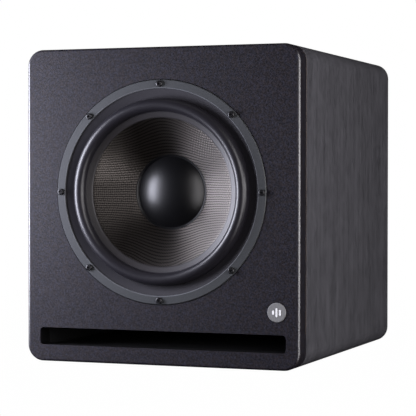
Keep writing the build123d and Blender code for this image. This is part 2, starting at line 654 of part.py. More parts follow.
# Open-backed chamber that seals the amplifier from the box
GROMMET_NECK = 6.0
with BuildPart() as amp_chamber:
    block(amp_plane(CHAMBER_FRONT_DEPTH), (0, 0), (CHAMBER_WIDTH, CHAMBER_HEIGHT), CHAMBER_DEPTH, 4.0)
    inner = (CHAMBER_WIDTH - 2 * CHAMBER_WALL, CHAMBER_HEIGHT - 2 * CHAMBER_WALL)
    block(amp_plane(PANEL_INSIDE_DEPTH), (0, 0), inner, CHAMBER_WALL - CHAMBER_DEPTH, 3.0, Mode.SUBTRACT)
    grommet_centre = (GROMMET_X, GROMMET_HEIGHT)
    disc(cabinet_plane(CHAMBER_FRONT_DEPTH), [grommet_centre], GROMMET_NECK, -CHAMBER_WALL, Mode.SUBTRACT)

# Rubber grommet where the speaker lead enters the chamber
with BuildPart() as lead_grommet:
    disc(cabinet_plane(CHAMBER_FRONT_DEPTH), [grommet_centre], GROMMET_NECK, -CHAMBER_WALL)
    disc(cabinet_plane(CHAMBER_FRONT_DEPTH - 2), [grommet_centre], 8.5, -2)
    disc(cabinet_plane(CHAMBER_FRONT_DEPTH + CHAMBER_WALL), [grommet_centre], 8.5, -2)
    bore_length = CHAMBER_WALL + 4
    bore_radius = LEAD_DIAMETER / 2 + 0.05
    disc(cabinet_plane(CHAMBER_FRONT_DEPTH - 2), [grommet_centre], bore_radius, -bore_length, Mode.SUBTRACT)

# Foam ring under the amplifier plate
with BuildPart() as amp_gasket:
    block(amp_plane(PLATE_INSIDE_DEPTH), (0, 0), (PLATE_WIDTH, PLATE_HEIGHT), -1, 4.0)
    block(amp_plane(PLATE_INSIDE_DEPTH), (0, 0), (PLATE_WIDTH - 20, PLATE_HEIGHT - 20), -1, 3.0, Mode.SUBTRACT)
    disc(amp_plane(PLATE_INSIDE_DEPTH), AMP_SCREW_PLACES, AMP_SCREW_RADIUS + 0.3, -1, Mode.SUBTRACT)

XLR_BARREL_RADIUS = 11.8
LATCH_SLOT = (8.0, 3.6)
LATCH_OFFSET = 11.5
BUSH_RADIUS = 3.5
PHASE_WINDOW = (9.6, 4.8)
LED_RADIUS = 2.4
INLET_BODY = (26.0, 38.0)
ROCKER_BODY = (14.0, 22.0)
RCA_STEM_RADIUS = 3.5
BOLT_RADIUS = 3.0
STUD_PLACES = [(u, v) for u in (-96, 96) for v in (-118, 118)]
control_places = [(VOLUME_U, CONTROL_V), (CROSSOVER_U, CONTROL_V)]
input_places = [(u, XLR_V) for u in XLR_INPUT_U]
output_places = [(u, XLR_V) for u in XLR_OUTPUT_U]
rca_places = [(u, XLR_V) for u in RCA_U]

# Amplifier plate with its openings, and four pressed studs that carry the board
with BuildPart() as amp_plate:
    plate_inside = amp_plane(PLATE_INSIDE_DEPTH)
    block(plate_inside, (0, 0), (PLATE_WIDTH, PLATE_HEIGHT), PLATE_THICKNESS, 4.0)
    disc(plate_inside, AMP_SCREW_PLACES, AMP_SCREW_RADIUS + 0.3, PLATE_THICKNESS, Mode.SUBTRACT)
    disc(plate_inside, input_places + output_places, XLR_BARREL_RADIUS + 0.2, PLATE_THICKNESS, Mode.SUBTRACT)
    for u in XLR_INPUT_U:
        notch_centre = (u, XLR_V + LATCH_OFFSET)
        block(plate_inside, notch_centre, (8.6, 4.6), PLATE_THICKNESS, 0.0, Mode.SUBTRACT)
    disc(plate_inside, rca_places, RCA_STEM_RADIUS, PLATE_THICKNESS, Mode.SUBTRACT)
    disc(plate_inside, control_places, BUSH_RADIUS, PLATE_THICKNESS, Mode.SUBTRACT)
    disc(plate_inside, [(LED_U, CONTROL_V)], LED_RADIUS, PLATE_THICKNESS, Mode.SUBTRACT)
    disc(plate_inside, [TRANSFORMER_CENTRE], BOLT_RADIUS, PLATE_THICKNESS, Mode.SUBTRACT)
    block(plate_inside, (PHASE_U, CONTROL_V), PHASE_WINDOW, PLATE_THICKNESS, 0.0, Mode.SUBTRACT)
    block(plate_inside, INLET_CENTRE, INLET_BODY, PLATE_THICKNESS, 0.0, Mode.SUBTRACT)
    block(plate_inside, ROCKER_CENTRE, ROCKER_BODY, PLATE_THICKNESS, 0.0, Mode.SUBTRACT)
    stud_length = PLATE_INSIDE_DEPTH - BOARD_DEPTH - 1.6
    disc(plate_inside, STUD_PLACES, 3.5, -stud_length)

# Ten pan-head screws round the plate
with BuildPart() as amp_screws:
    disc(amp_plane(CABINET_DEPTH), AMP_SCREW_PLACES, 3.2, 2.2)
    fillet(amp_screws.faces().filter_by(Axis.Y).group_by(Axis.Y)[-1].edges(), 1.0)
    disc(amp_plane(CABINET_DEPTH), AMP_SCREW_PLACES, AMP_SCREW_RADIUS, -14.0)
    for width, length in ((3.6, 0.8), (0.8, 3.6)):
        with BuildSketch(amp_plane(CABINET_DEPTH + 2.2)):
            with Locations(*AMP_SCREW_PLACES):
                Rectangle(width, length)
        extrude(amount=-1.2, mode=Mode.SUBTRACT)

# Extruded heatsink with upright fins
HEATSINK_SIZE = (190.0, 88.0)
HEATSINK_V = 78.0
FIN_COUNT = 17
with BuildPart() as heatsink:
    block(amp_plane(CABINET_DEPTH), (0, HEATSINK_V), HEATSINK_SIZE, 4.0)
    fin_pitch = (HEATSINK_SIZE[0] - 2.4) / (FIN_COUNT - 1)
    with BuildSketch(amp_plane(CABINET_DEPTH + 4)):
        with Locations((0, HEATSINK_V)):
            with GridLocations(fin_pitch, 1, FIN_COUNT, 1):
                Rectangle(2.4, HEATSINK_SIZE[1])
    extrude(amount=HEATSINK_REACH - 4)

# Main board: circuit board with its header, output coils and power devices
with BuildPart() as main_board:
    block(amp_plane(BOARD_DEPTH), (0, 0), (204, 248), 1.6)
    header_centre = (-GROMMET_X, GROMMET_HEIGHT - AMP_CENTRE_HEIGHT)
    block(amp_plane(BOARD_DEPTH), header_centre, (14, 12), HEADER_DEPTH - BOARD_DEPTH)
    disc(amp_plane(BOARD_DEPTH), [(-60, -60), (-20, -60)], 13.0, -16.0)
    disc(amp_plane(BOARD_DEPTH), [(-60, -60), (-20, -60)], 6.0, -16.0, Mode.SUBTRACT)
    with BuildSketch(amp_plane(BOARD_DEPTH)):
        with Locations((0, 96)):
            with GridLocations(28, 1, 6, 1):
                Rectangle(15, 5)
    extrude(amount=-20)
    with BuildSketch(amp_plane(BOARD_DEPTH)):
        with Locations((-40, 20)):
            with GridLocations(24, 20, 4, 3):
                Rectangle(9, 6)
    extrude(amount=-2.5)

# Four reservoir capacitors standing on the board
with BuildPart() as reservoir_capacitors:
    with BuildSketch(amp_plane(BOARD_DEPTH)):
        with Locations((62, -40)):
            with GridLocations(30, 32, 2, 2):
                Circle(12.5)
    extrude(amount=-26)
    chamfer(reservoir_capacitors.faces().filter_by(Axis.Y).group_by(Axis.Y)[0].edges(), 1.0)

# Ring-core transformer, clamped to the plate by one bolt with a dished washer
TRANSFORMER_RADIUS = 37.0
TRANSFORMER_HEIGHT = 36.0
with BuildPart() as transformer:
    disc(plate_inside, [TRANSFORMER_CENTRE], TRANSFORMER_RADIUS, -TRANSFORMER_HEIGHT)
    fillet(transformer.edges(), 7)
    disc(plate_inside, [TRANSFORMER_CENTRE], 12.0, -TRANSFORMER_HEIGHT, Mode.SUBTRACT)
with BuildPart() as transformer_bolt:
    washer_plane = amp_plane(PLATE_INSIDE_DEPTH - TRANSFORMER_HEIGHT)
    disc(plate_inside, [TRANSFORMER_CENTRE], BOLT_RADIUS, PLATE_THICKNESS)
    disc(plate_inside, [TRANSFORMER_CENTRE], BOLT_RADIUS, -TRANSFORMER_HEIGHT)
    disc(washer_plane, [TRANSFORMER_CENTRE], 28.0, -1.5)
    for hexagon_depth, hexagon_length in ((CABINET_DEPTH, 4.0), (PLATE_INSIDE_DEPTH - TRANSFORMER_HEIGHT, -5.0)):
        with BuildSketch(amp_plane(hexagon_depth)):
            with Locations(TRANSFORMER_CENTRE):
                RegularPolygon(5.6, 6)
        extrude(amount=hexagon_length)

# Mains inlet: flange, body, socket recess with three pins, and the fuse drawer's slot
INLET_FLANGE_THICKNESS = 2.5
SOCKET_SIZE = (22.0, 14.5)
SOCKET_RISE = 8.0
SOCKET_DEPTH = 16.0
DRAWER_SIZE = (15.0, 7.0)
DRAWER_DROP = 11.0
DRAWER_DEPTH = 22.0
CLEARANCE = 0.3
inlet_face = CABINET_DEPTH + INLET_FLANGE_THICKNESS
socket_centre = (INLET_CENTRE[0], INLET_CENTRE[1] + SOCKET_RISE)
drawer_centre = (INLET_CENTRE[0], INLET_CENTRE[1] - DRAWER_DROP)
with BuildPart() as mains_inlet:
    block(amp_plane(CABINET_DEPTH), INLET_CENTRE, (32, 44), INLET_FLANGE_THICKNESS, 3.0)
    block(amp_plane(CABINET_DEPTH), INLET_CENTRE, INLET_BODY, -32)
    block(amp_plane(inlet_face), socket_centre, SOCKET_SIZE, -SOCKET_DEPTH, 2.5, Mode.SUBTRACT)
    for pin_u, pin_v in ((-7, -2), (7, -2), (0, 2)):
        pin_centre = (socket_centre[0] + pin_u, socket_centre[1] + pin_v)
        block(amp_plane(inlet_face - SOCKET_DEPTH), pin_centre, (2, 4), 10)
    drawer_slot = (DRAWER_SIZE[0] + 2 * CLEARANCE, DRAWER_SIZE[1] + 2 * CLEARANCE)
    block(amp_plane(inlet_face), drawer_centre, drawer_slot, -(DRAWER_DEPTH + 1), 0.0, Mode.SUBTRACT)

# Fuse drawer with a finger lip, hollowed for the fuse
with BuildPart() as fuse_drawer:
    block(amp_plane(inlet_face), drawer_centre, DRAWER_SIZE, -DRAWER_DEPTH)
    block(amp_plane(inlet_face + 0.2), drawer_centre, (18, 9.4), 1.6, 1.0)
    block(amp_plane(inlet_face), drawer_centre, (10, 4), 0.2)
    fuse_plane = Plane(origin=amp_plane(inlet_face - 12).from_local_coords((drawer_centre[0], drawer_centre[1], 0)))
    block(fuse_plane, (0, 0), (5.4, 17), 4.0, 0.0, Mode.SUBTRACT)

# Power rocker switch: the rocker is tilted to its off position
ROCKER_TILT = 11.0
ROCKER_PIVOT_DEPTH = CABINET_DEPTH - 4.0
ROCKER_WIDTH = 10.0
ROCKER_HALF_LENGTH = 7.5
PIVOT_RADIUS = 1.2
rocker_pivot = amp_plane(ROCKER_PIVOT_DEPTH).from_local_coords((ROCKER_CENTRE[0], ROCKER_CENTRE[1], 0))
with BuildPart() as power_switch_body:
    block(amp_plane(CABINET_DEPTH), ROCKER_CENTRE, (17, 25), 1.5, 1.5)
    block(amp_plane(CABINET_DEPTH), ROCKER_CENTRE, ROCKER_BODY, -20)
    block(amp_plane(CABINET_DEPTH + 1.5), ROCKER_CENTRE, (10.8, 18.4), -11.5, 0.0, Mode.SUBTRACT)
    with BuildSketch(Plane(origin=rocker_pivot, x_dir=(0, 1, 0), z_dir=(1, 0, 0))):
        Circle(PIVOT_RADIUS + 0.05)
    extrude(amount=6.3, both=True, mode=Mode.SUBTRACT)
with BuildPart() as power_rocker:
    tilt = math.radians(ROCKER_TILT)
    rocker_plane = Plane(origin=rocker_pivot, x_dir=(0, math.cos(tilt), math.sin(tilt)), z_dir=(1, 0, 0))
    with BuildSketch(rocker_plane):
        with BuildLine():
            Polyline(
                (7.0, -ROCKER_HALF_LENGTH),
                (2.0, -ROCKER_HALF_LENGTH + 0.4),
                (-3.5, -3.0),
                (-3.5, 3.0),
                (2.0, ROCKER_HALF_LENGTH - 0.4),
                (7.0, ROCKER_HALF_LENGTH),
            )
            ThreePointArc((7.0, ROCKER_HALF_LENGTH), (5.0, 0), (7.0, -ROCKER_HALF_LENGTH))
        make_face()
    extrude(amount=ROCKER_WIDTH / 2, both=True)
    with BuildSketch(rocker_plane):
        Circle(PIVOT_RADIUS)
    extrude(amount=6.2, both=True)


def control_pot(u):
    """A potentiometer behind the plate, with its threaded bush through the plate."""
    with BuildPart() as pot:
        block(plate_inside, (u, CONTROL_V), (17, 17), -9, 1.0)
        disc(plate_inside, [(u, CONTROL_V)], BUSH_RADIUS, PLATE_THICKNESS + 3)
        disc(amp_plane(PLATE_INSIDE_DEPTH - 5), [(u, CONTROL_V)], 3.05, PLATE_THICKNESS + 8, Mode.SUBTRACT)
    return pot


def control_shaft(u):
    """The shaft that turns in a potentiometer's bush and carries a knob."""
    with BuildPart() as shaft:
        disc(amp_plane(PLATE_INSIDE_DEPTH - 4.5), [(u, CONTROL_V)], 3.0, 17.5)
    return shaft


def control_knob(u):
    """A fluted knob with a raised pointer, pushed onto its shaft and clear of the bush."""
    knob_bottom = CABINET_DEPTH + 1.0
    with BuildPart() as knob:
        disc(amp_plane(knob_bottom), [(u, CONTROL_V)], 8.0, 13.0)
        fillet(knob.faces().sort_by(Axis.Y)[-1].edges(), 1.2)
        flutes = [(u + x, CONTROL_V + y) for x, y in around(8.6, 16, 11.25)]
        disc(amp_plane(knob_bottom + 2), flutes, 1.2, 11.0, Mode.SUBTRACT)
        disc(amp_plane(knob_bottom), [(u, CONTROL_V)], 5.0, 2.6, Mode.SUBTRACT)
        disc(amp_plane(knob_bottom), [(u, CONTROL_V)], 3.0, 9.0, Mode.SUBTRACT)
        block(amp_plane(knob_bottom + 13.0), (u, CONTROL_V + 4), (1.2, 5), 0.4)
    return knob


volume_pot = control_pot(VOLUME_U)
volume_shaft = control_shaft(VOLUME_U)
volume_knob = control_knob(VOLUME_U)
crossover_pot = control_pot(CROSSOVER_U)
crossover_shaft = control_shaft(CROSSOVER_U)
crossover_knob = control_knob(CROSSOVER_U)

# Phase slide switch: body behind the plate, and a slider at the left end of its travel
PHASE_TRAVEL = 4.6
SLIDER_SIZE = (4.4, 4.0)
with BuildPart() as phase_switch_body:
    block(plate_inside, (PHASE_U, CONTROL_V), (20, 9), -9)
    block(plate_inside, (PHASE_U, CONTROL_V), PHASE_WINDOW, -5, 0.0, Mode.SUBTRACT)
with BuildPart() as phase_slider:
    slider_centre = (PHASE_U - PHASE_TRAVEL / 2, CONTROL_V)
    block(amp_plane(PLATE_INSIDE_DEPTH - 4.6), slider_centre, SLIDER_SIZE, 10.0)
    with BuildSketch(amp_plane(PLATE_INSIDE_DEPTH + 5.4)):
        with Locations(slider_centre):
            with GridLocations(1.4, 1, 3, 1):
                Rectangle(0.5, SLIDER_SIZE[1])
    extrude(amount=-0.6, mode=Mode.SUBTRACT)

# Domed power indicator
with BuildPart() as power_led:
    disc(amp_plane(PLATE_INSIDE_DEPTH - 6), [(LED_U, CONTROL_V)], LED_RADIUS, 11.5)
    fillet(power_led.faces().sort_by(Axis.Y)[-1].edges(), LED_RADIUS - 0.1)
    disc(plate_inside, [(LED_U, CONTROL_V)], LED_RADIUS + 0.8, -6)

# Three-pole inputs: square flange, barrel, plug recess round a socket insert, and the latch's slot
XLR_FLANGE = (26.0, 31.0)
XLR_FACE = CABINET_DEPTH + 2.0
XLR_LENGTH = 26.0
pole_circle = around(3.6, 3, 30.0)
with BuildPart() as xlr_inputs:
    for u in XLR_INPUT_U:
        centre = (u, XLR_V)
        block(amp_plane(CABINET_DEPTH), centre, XLR_FLANGE, 2.0, 2.0)
        disc(amp_plane(CABINET_DEPTH), [centre], XLR_BARREL_RADIUS, -XLR_LENGTH)
        disc(amp_plane(XLR_FACE), [centre], 9.4, -14, Mode.SUBTRACT)
        disc(amp_plane(XLR_FACE - 14), [centre], 7.2, 13)
        poles = [(u + x, XLR_V + y) for x, y in pole_circle]
        disc(amp_plane(XLR_FACE - 1), poles, 1.4, -10, Mode.SUBTRACT)
        block(amp_plane(XLR_FACE), (u, XLR_V + LATCH_OFFSET), LATCH_SLOT, -11, 0.0, Mode.SUBTRACT)

# Three-pole outputs: the same flange and barrel with an open recess and three pins
with BuildPart() as xlr_outputs:
    for u in XLR_OUTPUT_U:
        centre = (u, XLR_V)
        block(amp_plane(CABINET_DEPTH), centre, XLR_FLANGE, 2.0, 2.0)
        disc(amp_plane(CABINET_DEPTH), [centre], XLR_BARREL_RADIUS, -XLR_LENGTH)
        disc(amp_plane(XLR_FACE), [centre], 9.4, -17, Mode.SUBTRACT)
        poles = [(u + x, XLR_V + y) for x, y in pole_circle]
        disc(amp_plane(XLR_FACE - 17), poles, 1.2, 11)

# Unbalanced inputs: insulating collar, shell and centre hole
with BuildPart() as rca_inputs:
    disc(amp_plane(CABINET_DEPTH), rca_places, RCA_STEM_RADIUS, -12)
    disc(amp_plane(CABINET_DEPTH), rca_places, 7.0, 1.5)
    disc(amp_plane(CABINET_DEPTH + 1.5), rca_places, 4.15, 8.5)
    disc(amp_plane(CABINET_DEPTH + 10), rca_places, 1.6, -8, Mode.SUBTRACT)


def latch_tab(u):
    """The push tab that frees a plug from an input."""
    with BuildPart() as tab:
        tab_centre = (u, XLR_V + LATCH_OFFSET)
        tab_size = (LATCH_SLOT[0] - 2 * CLEARANCE, LATCH_SLOT[1] - 2 * CLEARANCE)
        block(amp_plane(XLR_FACE + 2.5), tab_centre, tab_size, -10.5)
        fillet(tab.faces().sort_by(Axis.Y)[-1].edges(), 0.6)
    return tab


latch_tab_left = latch_tab(XLR_INPUT_U[0])
latch_tab_right = latch_tab(XLR_INPUT_U[1])

# ---------------------------------------------------------------- export

pieces = {
    "front_baffle": front_baffle,
    "left_side_panel": left_side_panel,
    "right_side_panel": right_side_panel,
    "top_panel": top_panel,
    "bottom_panel": bottom_panel,
    "rear_panel": rear_panel,
    "port_shelf": port_shelf,
    "window_brace": window_brace,
    "vinyl_wrap": vinyl_wrap,
    "acoustic_lining": acoustic_lining,
    "rubber_feet": rubber_feet,
    "foot_screws": foot_screws,
    "badge_disc": badge_disc,
    "badge_mark": badge_mark,
    "driver_frame": driver_frame,
    "driver_gasket": driver_gasket,
    "driver_screws": driver_screws,
    "surround_gasket": surround_gasket,
    "surround": surround,
    "cone": cone,
    "dust_cap": dust_cap,
    "voice_coil_former": voice_coil_former,
    "voice_coil": voice_coil,
    "spider": spider,
    "top_plate": top_plate,
    "magnet": magnet,
    "pole_piece": pole_piece,
    "magnet_boot": magnet_boot,
    "terminal_block": terminal_block,
    "tinsel_leads": tinsel_leads,
    "speaker_lead": speaker_lead,
    "lead_clip": lead_clip,
    "lead_grommet": lead_grommet,
    "amp_chamber": amp_chamber,
    "amp_plate": amp_plate,
    "amp_gasket": amp_gasket,
    "amp_screws": amp_screws,
    "heatsink": heatsink,
    "main_board": main_board,
    "reservoir_capacitors": reservoir_capacitors,
    "transformer": transformer,
    "transformer_bolt": transformer_bolt,
    "mains_inlet": mains_inlet,
    "fuse_drawer": fuse_drawer,
    "power_switch_body": power_switch_body,
    "power_rocker": power_rocker,
    "volume_pot": volume_pot,
    "volume_shaft": volume_shaft,
    "volume_knob": volume_knob,
    "crossover_pot": crossover_pot,
    "crossover_shaft": crossover_shaft,
    "crossover_knob": crossover_knob,
    "phase_switch_body": phase_switch_body,
    "phase_slider": phase_slider,
    "power_led": power_led,
    "xlr_inputs": xlr_inputs,
    "xlr_outputs": xlr_outputs,
    "rca_inputs": rca_inputs,
    "latch_tab_left": latch_tab_left,
    "latch_tab_right": latch_tab_right,
}

os.makedirs("parts", exist_ok=True)
for name, piece in pieces.items():
    piece.part.label = name
    export_step(piece.part, f"parts/{name}.step")
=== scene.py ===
import math

import bmesh
import bpy
from mathutils import Matrix, Vector
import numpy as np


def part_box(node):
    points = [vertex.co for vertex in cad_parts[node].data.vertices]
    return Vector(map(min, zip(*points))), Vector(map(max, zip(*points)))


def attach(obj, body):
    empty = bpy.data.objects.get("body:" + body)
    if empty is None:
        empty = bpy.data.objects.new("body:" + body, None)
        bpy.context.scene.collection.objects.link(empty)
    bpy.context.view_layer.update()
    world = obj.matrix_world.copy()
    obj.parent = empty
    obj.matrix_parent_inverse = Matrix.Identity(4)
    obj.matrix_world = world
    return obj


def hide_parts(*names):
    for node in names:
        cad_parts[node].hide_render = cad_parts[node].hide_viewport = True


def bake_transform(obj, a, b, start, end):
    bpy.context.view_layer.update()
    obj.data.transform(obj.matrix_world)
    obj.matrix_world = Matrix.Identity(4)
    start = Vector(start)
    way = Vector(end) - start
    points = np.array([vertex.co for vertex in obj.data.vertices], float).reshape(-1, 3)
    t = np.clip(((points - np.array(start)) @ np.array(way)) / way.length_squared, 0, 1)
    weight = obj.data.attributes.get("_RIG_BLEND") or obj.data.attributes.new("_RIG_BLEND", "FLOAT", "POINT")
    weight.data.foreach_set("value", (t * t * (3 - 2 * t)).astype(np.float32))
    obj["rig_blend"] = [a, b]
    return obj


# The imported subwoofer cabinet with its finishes. Everything is in metres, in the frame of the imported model, except
# the outlines of round driver parts: these are (radius, depth) in millimetres, from the driver's axis and from the
# front face.

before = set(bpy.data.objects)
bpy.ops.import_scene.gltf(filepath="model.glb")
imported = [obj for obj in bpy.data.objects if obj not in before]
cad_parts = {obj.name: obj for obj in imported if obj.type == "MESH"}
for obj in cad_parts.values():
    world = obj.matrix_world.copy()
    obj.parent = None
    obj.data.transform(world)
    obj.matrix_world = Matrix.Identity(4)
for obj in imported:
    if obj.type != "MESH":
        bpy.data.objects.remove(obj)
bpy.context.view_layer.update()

MM = 0.001
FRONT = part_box("front_baffle")[0].y
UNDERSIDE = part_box("front_baffle")[0].z
frame_low, frame_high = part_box("driver_frame")
AXIS_Z = (frame_low.z + frame_high.z) / 2


# ---------------------------------------------------------------- materials


class Web:
    """One material's node tree, with short calls for the nodes that the finishes are made of."""

    def __init__(self, name):
        self.material = bpy.data.materials.new("finish_" + name)
        self.material.use_nodes = True
        self.tree = self.material.node_tree
        self.shader = self.tree.nodes["Principled BSDF"]
        self.place = self.tree.nodes.new("ShaderNodeTexCoord").outputs["Object"]

    def put(self, socket, value):
        """Feeds a socket from another node's output, or sets it."""
        if isinstance(value, bpy.types.NodeSocket):
            self.tree.links.new(value, socket)
        else:
            socket.default_value = value

    def math(self, operation, first, second=0.0):
        node = self.tree.nodes.new("ShaderNodeMath")
        node.operation = operation
        self.put(node.inputs[0], first)
        self.put(node.inputs[1], second)
        return node.outputs[0]

    def stretched(self, scale):
        node = self.tree.nodes.new("ShaderNodeMapping")
        self.put(node.inputs["Vector"], self.place)
        node.inputs["Scale"].default_value = scale
        return node.outputs["Vector"]

    def noise(self, scale, detail=4.0, stretch=(1, 1, 1), distortion=0.0):
        node = self.tree.nodes.new("ShaderNodeTexNoise")
        self.put(node.inputs["Vector"], self.stretched(stretch))
        node.inputs["Scale"].default_value = scale
        node.inputs["Detail"].default_value = detail
        node.inputs["Distortion"].default_value = distortion
        return node.outputs["Fac"]

    def cells(self, scale, stretch=(1, 1, 1), output="Distance"):
        node = self.tree.nodes.new("ShaderNodeTexVoronoi")
        self.put(node.inputs["Vector"], self.stretched(stretch))
        node.inputs["Scale"].default_value = scale
        return node.outputs[output]

    def ranged(self, value, low, high, new_low=0.0, new_high=1.0):
        node = self.tree.nodes.new("ShaderNodeMapRange")
        self.put(node.inputs["Value"], value)
        for key, number in (("From Min", low), ("From Max", high), ("To Min", new_low), ("To Max", new_high)):
            node.inputs[key].default_value = number
        return node.outputs["Result"]

    def mixed(self, factor, first, second):
        """A colour or a vector between two, by a factor from 0 to 1."""
        node = self.tree.nodes.new("ShaderNodeMix")
        node.data_type = "RGBA"
        self.put(node.inputs["Factor"], factor)
        colour_inputs = [s for s in node.inputs if s.type == "RGBA"]
        for socket, value in zip(colour_inputs, (first, second)):
            self.put(socket, value if isinstance(value, bpy.types.NodeSocket) else (*value, 1.0))
        return next(s for s in node.outputs if s.type == "RGBA")

    def radius_mm(self):
        """Distance from the driver's axis."""
        across, _, up = self.axes()
        up = self.math("SUBTRACT", up, AXIS_Z)
        square = self.math("ADD", self.math("MULTIPLY", across, across), self.math("MULTIPLY", up, up))
        return self.math("MULTIPLY", self.math("SQRT", square), 1000.0)

    def axes(self):
        node = self.tree.nodes.new("ShaderNodeSeparateXYZ")
        self.put(node.inputs[0], self.place)
        return node.outputs

    def relief(self, height, depth_mm, strength=1.0):
        node = self.tree.nodes.new("ShaderNodeBump")
        node.inputs["Strength"].default_value = strength
        node.inputs["Distance"].default_value = depth_mm * MM
        self.put(node.inputs["Height"], height)
        self.put(self.shader.inputs["Normal"], node.outputs["Normal"])

    def finish(self, colour, roughness, metallic=0.0, specular=0.5, coat=0.0, coat_roughness=0.1):
        self.put(self.shader.inputs["Base Color"], colour)
        self.put(self.shader.inputs["Roughness"], roughness)
        self.shader.inputs["Metallic"].default_value = metallic
        self.put(self.shader.inputs["Specular IOR Level"], specular)
        self.shader.inputs["Coat Weight"].default_value = coat
        self.shader.inputs["Coat Roughness"].default_value = coat_roughness
        return self.material


def grained(name, dark, light, roughness, grain, depth_mm, stretch=(1, 1, 1), broad=9.0, **shine):
    """A finish with fine grain in colour, gloss and relief, and broad, faint patches over it."""
    web = Web(name)
    fine = web.noise(grain, 5.0, stretch)
    patches = web.noise(broad, 3.0)
    blend = web.math("ADD", web.ranged(fine, 0.32, 0.68, 0.0, 0.72), web.ranged(patches, 0.3, 0.7, 0.0, 0.28))
    colour = web.mixed(blend, dark, light)
    gloss = web.math("ADD", web.ranged(fine, 0.3, 0.7, *roughness), web.ranged(patches, 0.3, 0.7, -0.03, 0.03))
    web.relief(fine, depth_mm)
    return web.finish(colour, gloss, **shine)


SLOT_HALF_WIDTH = 158.2 * MM
SLOT_TOP = UNDERSIDE + 41.6 * MM
SLOT_LIP = 2.5 * MM
BAFFLE_EDGE_START = 171.2 * MM
BAFFLE_EDGE_END = 172.6 * MM
# The flange's inner chamfer, in millimetres from the driver's axis, where the frame paint carries a painted highlight
PAINTED_GLINT_INNER = 123.55
PAINTED_GLINT_OUTER = 124.6
DUSTY_LIP_START = 96.2
DUSTY_LIP_END = 95.2


def baffle_paint():
    """Textured satin paint: fine pebbling, with bluish and warm flecks; smoother on the rounded outer edges."""
    web = Web("baffle_paint")
    pebbles = web.noise(1150.0, 3.0)
    flecks = web.noise(540.0, 3.0)
    tint = web.noise(330.0, 2.0)
    patches = web.noise(11.0, 3.0)
    across, depth, up = web.axes()
    cool = web.mixed(web.ranged(flecks, 0.33, 0.67), (0.0008, 0.0008, 0.0018), (0.0172, 0.0164, 0.0252))
    warm = web.mixed(web.ranged(flecks, 0.33, 0.67), (0.0020, 0.0010, 0.0014), (0.0185, 0.0150, 0.0182))
    paint = web.mixed(web.ranged(tint, 0.42, 0.58), cool, warm)
    behind_face = web.math("GREATER_THAN", depth, FRONT + SLOT_LIP)
    in_slot = web.math("LESS_THAN", web.math("ABSOLUTE", across), SLOT_HALF_WIDTH)
    in_slot = web.math("MULTIPLY", in_slot, web.math("LESS_THAN", up, SLOT_TOP))
    colour = web.mixed(web.math("MULTIPLY", in_slot, behind_face), paint, (0.0012, 0.0012, 0.0013))
    gloss = web.math("ADD", web.ranged(pebbles, 0.3, 0.7, 0.50, 0.62), web.ranged(patches, 0.3, 0.7, -0.02, 0.02))
    edge = web.ranged(web.math("ABSOLUTE", across), BAFFLE_EDGE_START, BAFFLE_EDGE_END)
    gloss = web.math("SUBTRACT", gloss, web.math("MULTIPLY", edge, 0.20))
    web.relief(web.math("ADD", pebbles, web.math("MULTIPLY", flecks, 0.7)), 0.12)
    return web.finish(colour, gloss, specular=web.math("ADD", web.math("MULTIPLY", edge, 0.75), 0.17))


def frame_paint():
    """Fine grey satin paint on the casting, with a painted highlight: a lighter band along the flange's inner chamfer.
    """
    web = Web("frame_paint")
    grain = web.noise(1100.0, 5.0)
    patches = web.noise(9.0, 3.0)
    radius = web.radius_mm()
    # Painted highlight: between these radii the chamfer is painted lighter, standing in for the glint of the light on
    # it
    outside, inside = web.math("GREATER_THAN", radius, PAINTED_GLINT_INNER), web.math("LESS_THAN", radius, PAINTED_GLINT_OUTER)
    edge = web.math("MULTIPLY", outside, inside)
    paint = web.mixed(web.ranged(grain, 0.3, 0.7), (0.031, 0.033, 0.035), (0.043, 0.045, 0.048))
    gloss = web.math("ADD", web.ranged(grain, 0.3, 0.7, 0.42, 0.50), web.ranged(patches, 0.3, 0.7, -0.03, 0.03))
    web.relief(grain, 0.012)
    return web.finish(web.mixed(edge, paint, (0.085, 0.088, 0.095)), gloss, specular=0.20)


def surround_rubber():
    """Satin rubber roll, and a matter, dusty lip where it is glued to the cone."""
    web = Web("surround_rubber")
    grain = web.noise(900.0, 5.0)
    patches = web.noise(9.0, 3.0)
    lip = web.ranged(web.radius_mm(), DUSTY_LIP_START, DUSTY_LIP_END)
    roll = web.mixed(web.ranged(grain, 0.3, 0.7), (0.0085, 0.0078, 0.0100), (0.0130, 0.0120, 0.0155))
    dusty = web.mixed(web.ranged(grain, 0.3, 0.7), (0.0160, 0.0145, 0.0155), (0.0240, 0.0220, 0.0240))
    gloss = web.math("ADD", web.ranged(patches, 0.3, 0.7, 0.33, 0.38), web.math("MULTIPLY", lip, 0.10))
    web.relief(grain, 0.003)
    return web.finish(web.mixed(lip, roll, dusty), gloss, specular=0.32)


def vinyl():
    """Black wood-grain wrap: upright pores and streaks on the sides, running front to back on top."""
    web = Web("vinyl")
    pores = web.noise(1.0, 4.0, (950, 620, 90))
    streaks = web.noise(1.0, 5.0, (190, 130, 7.0))
    blotches = web.noise(46.0, 3.0, (1, 1, 0.55))
    blend = web.math("ADD", web.ranged(streaks, 0.3, 0.7, 0.12, 0.40), web.ranged(pores, 0.3, 0.7, 0.0, 0.42))
    blend = web.math("ADD", blend, web.ranged(blotches, 0.35, 0.65, 0.0, 0.15))
    colour = web.mixed(blend, (0.0080, 0.0078, 0.0096), (0.0840, 0.0825, 0.0920))
    gloss = web.ranged(pores, 0.3, 0.7, 0.47, 0.6)
    web.relief(web.math("ADD", pores, web.math("MULTIPLY", streaks, 0.4)), 0.06)
    return web.finish(colour, gloss, specular=0.4)


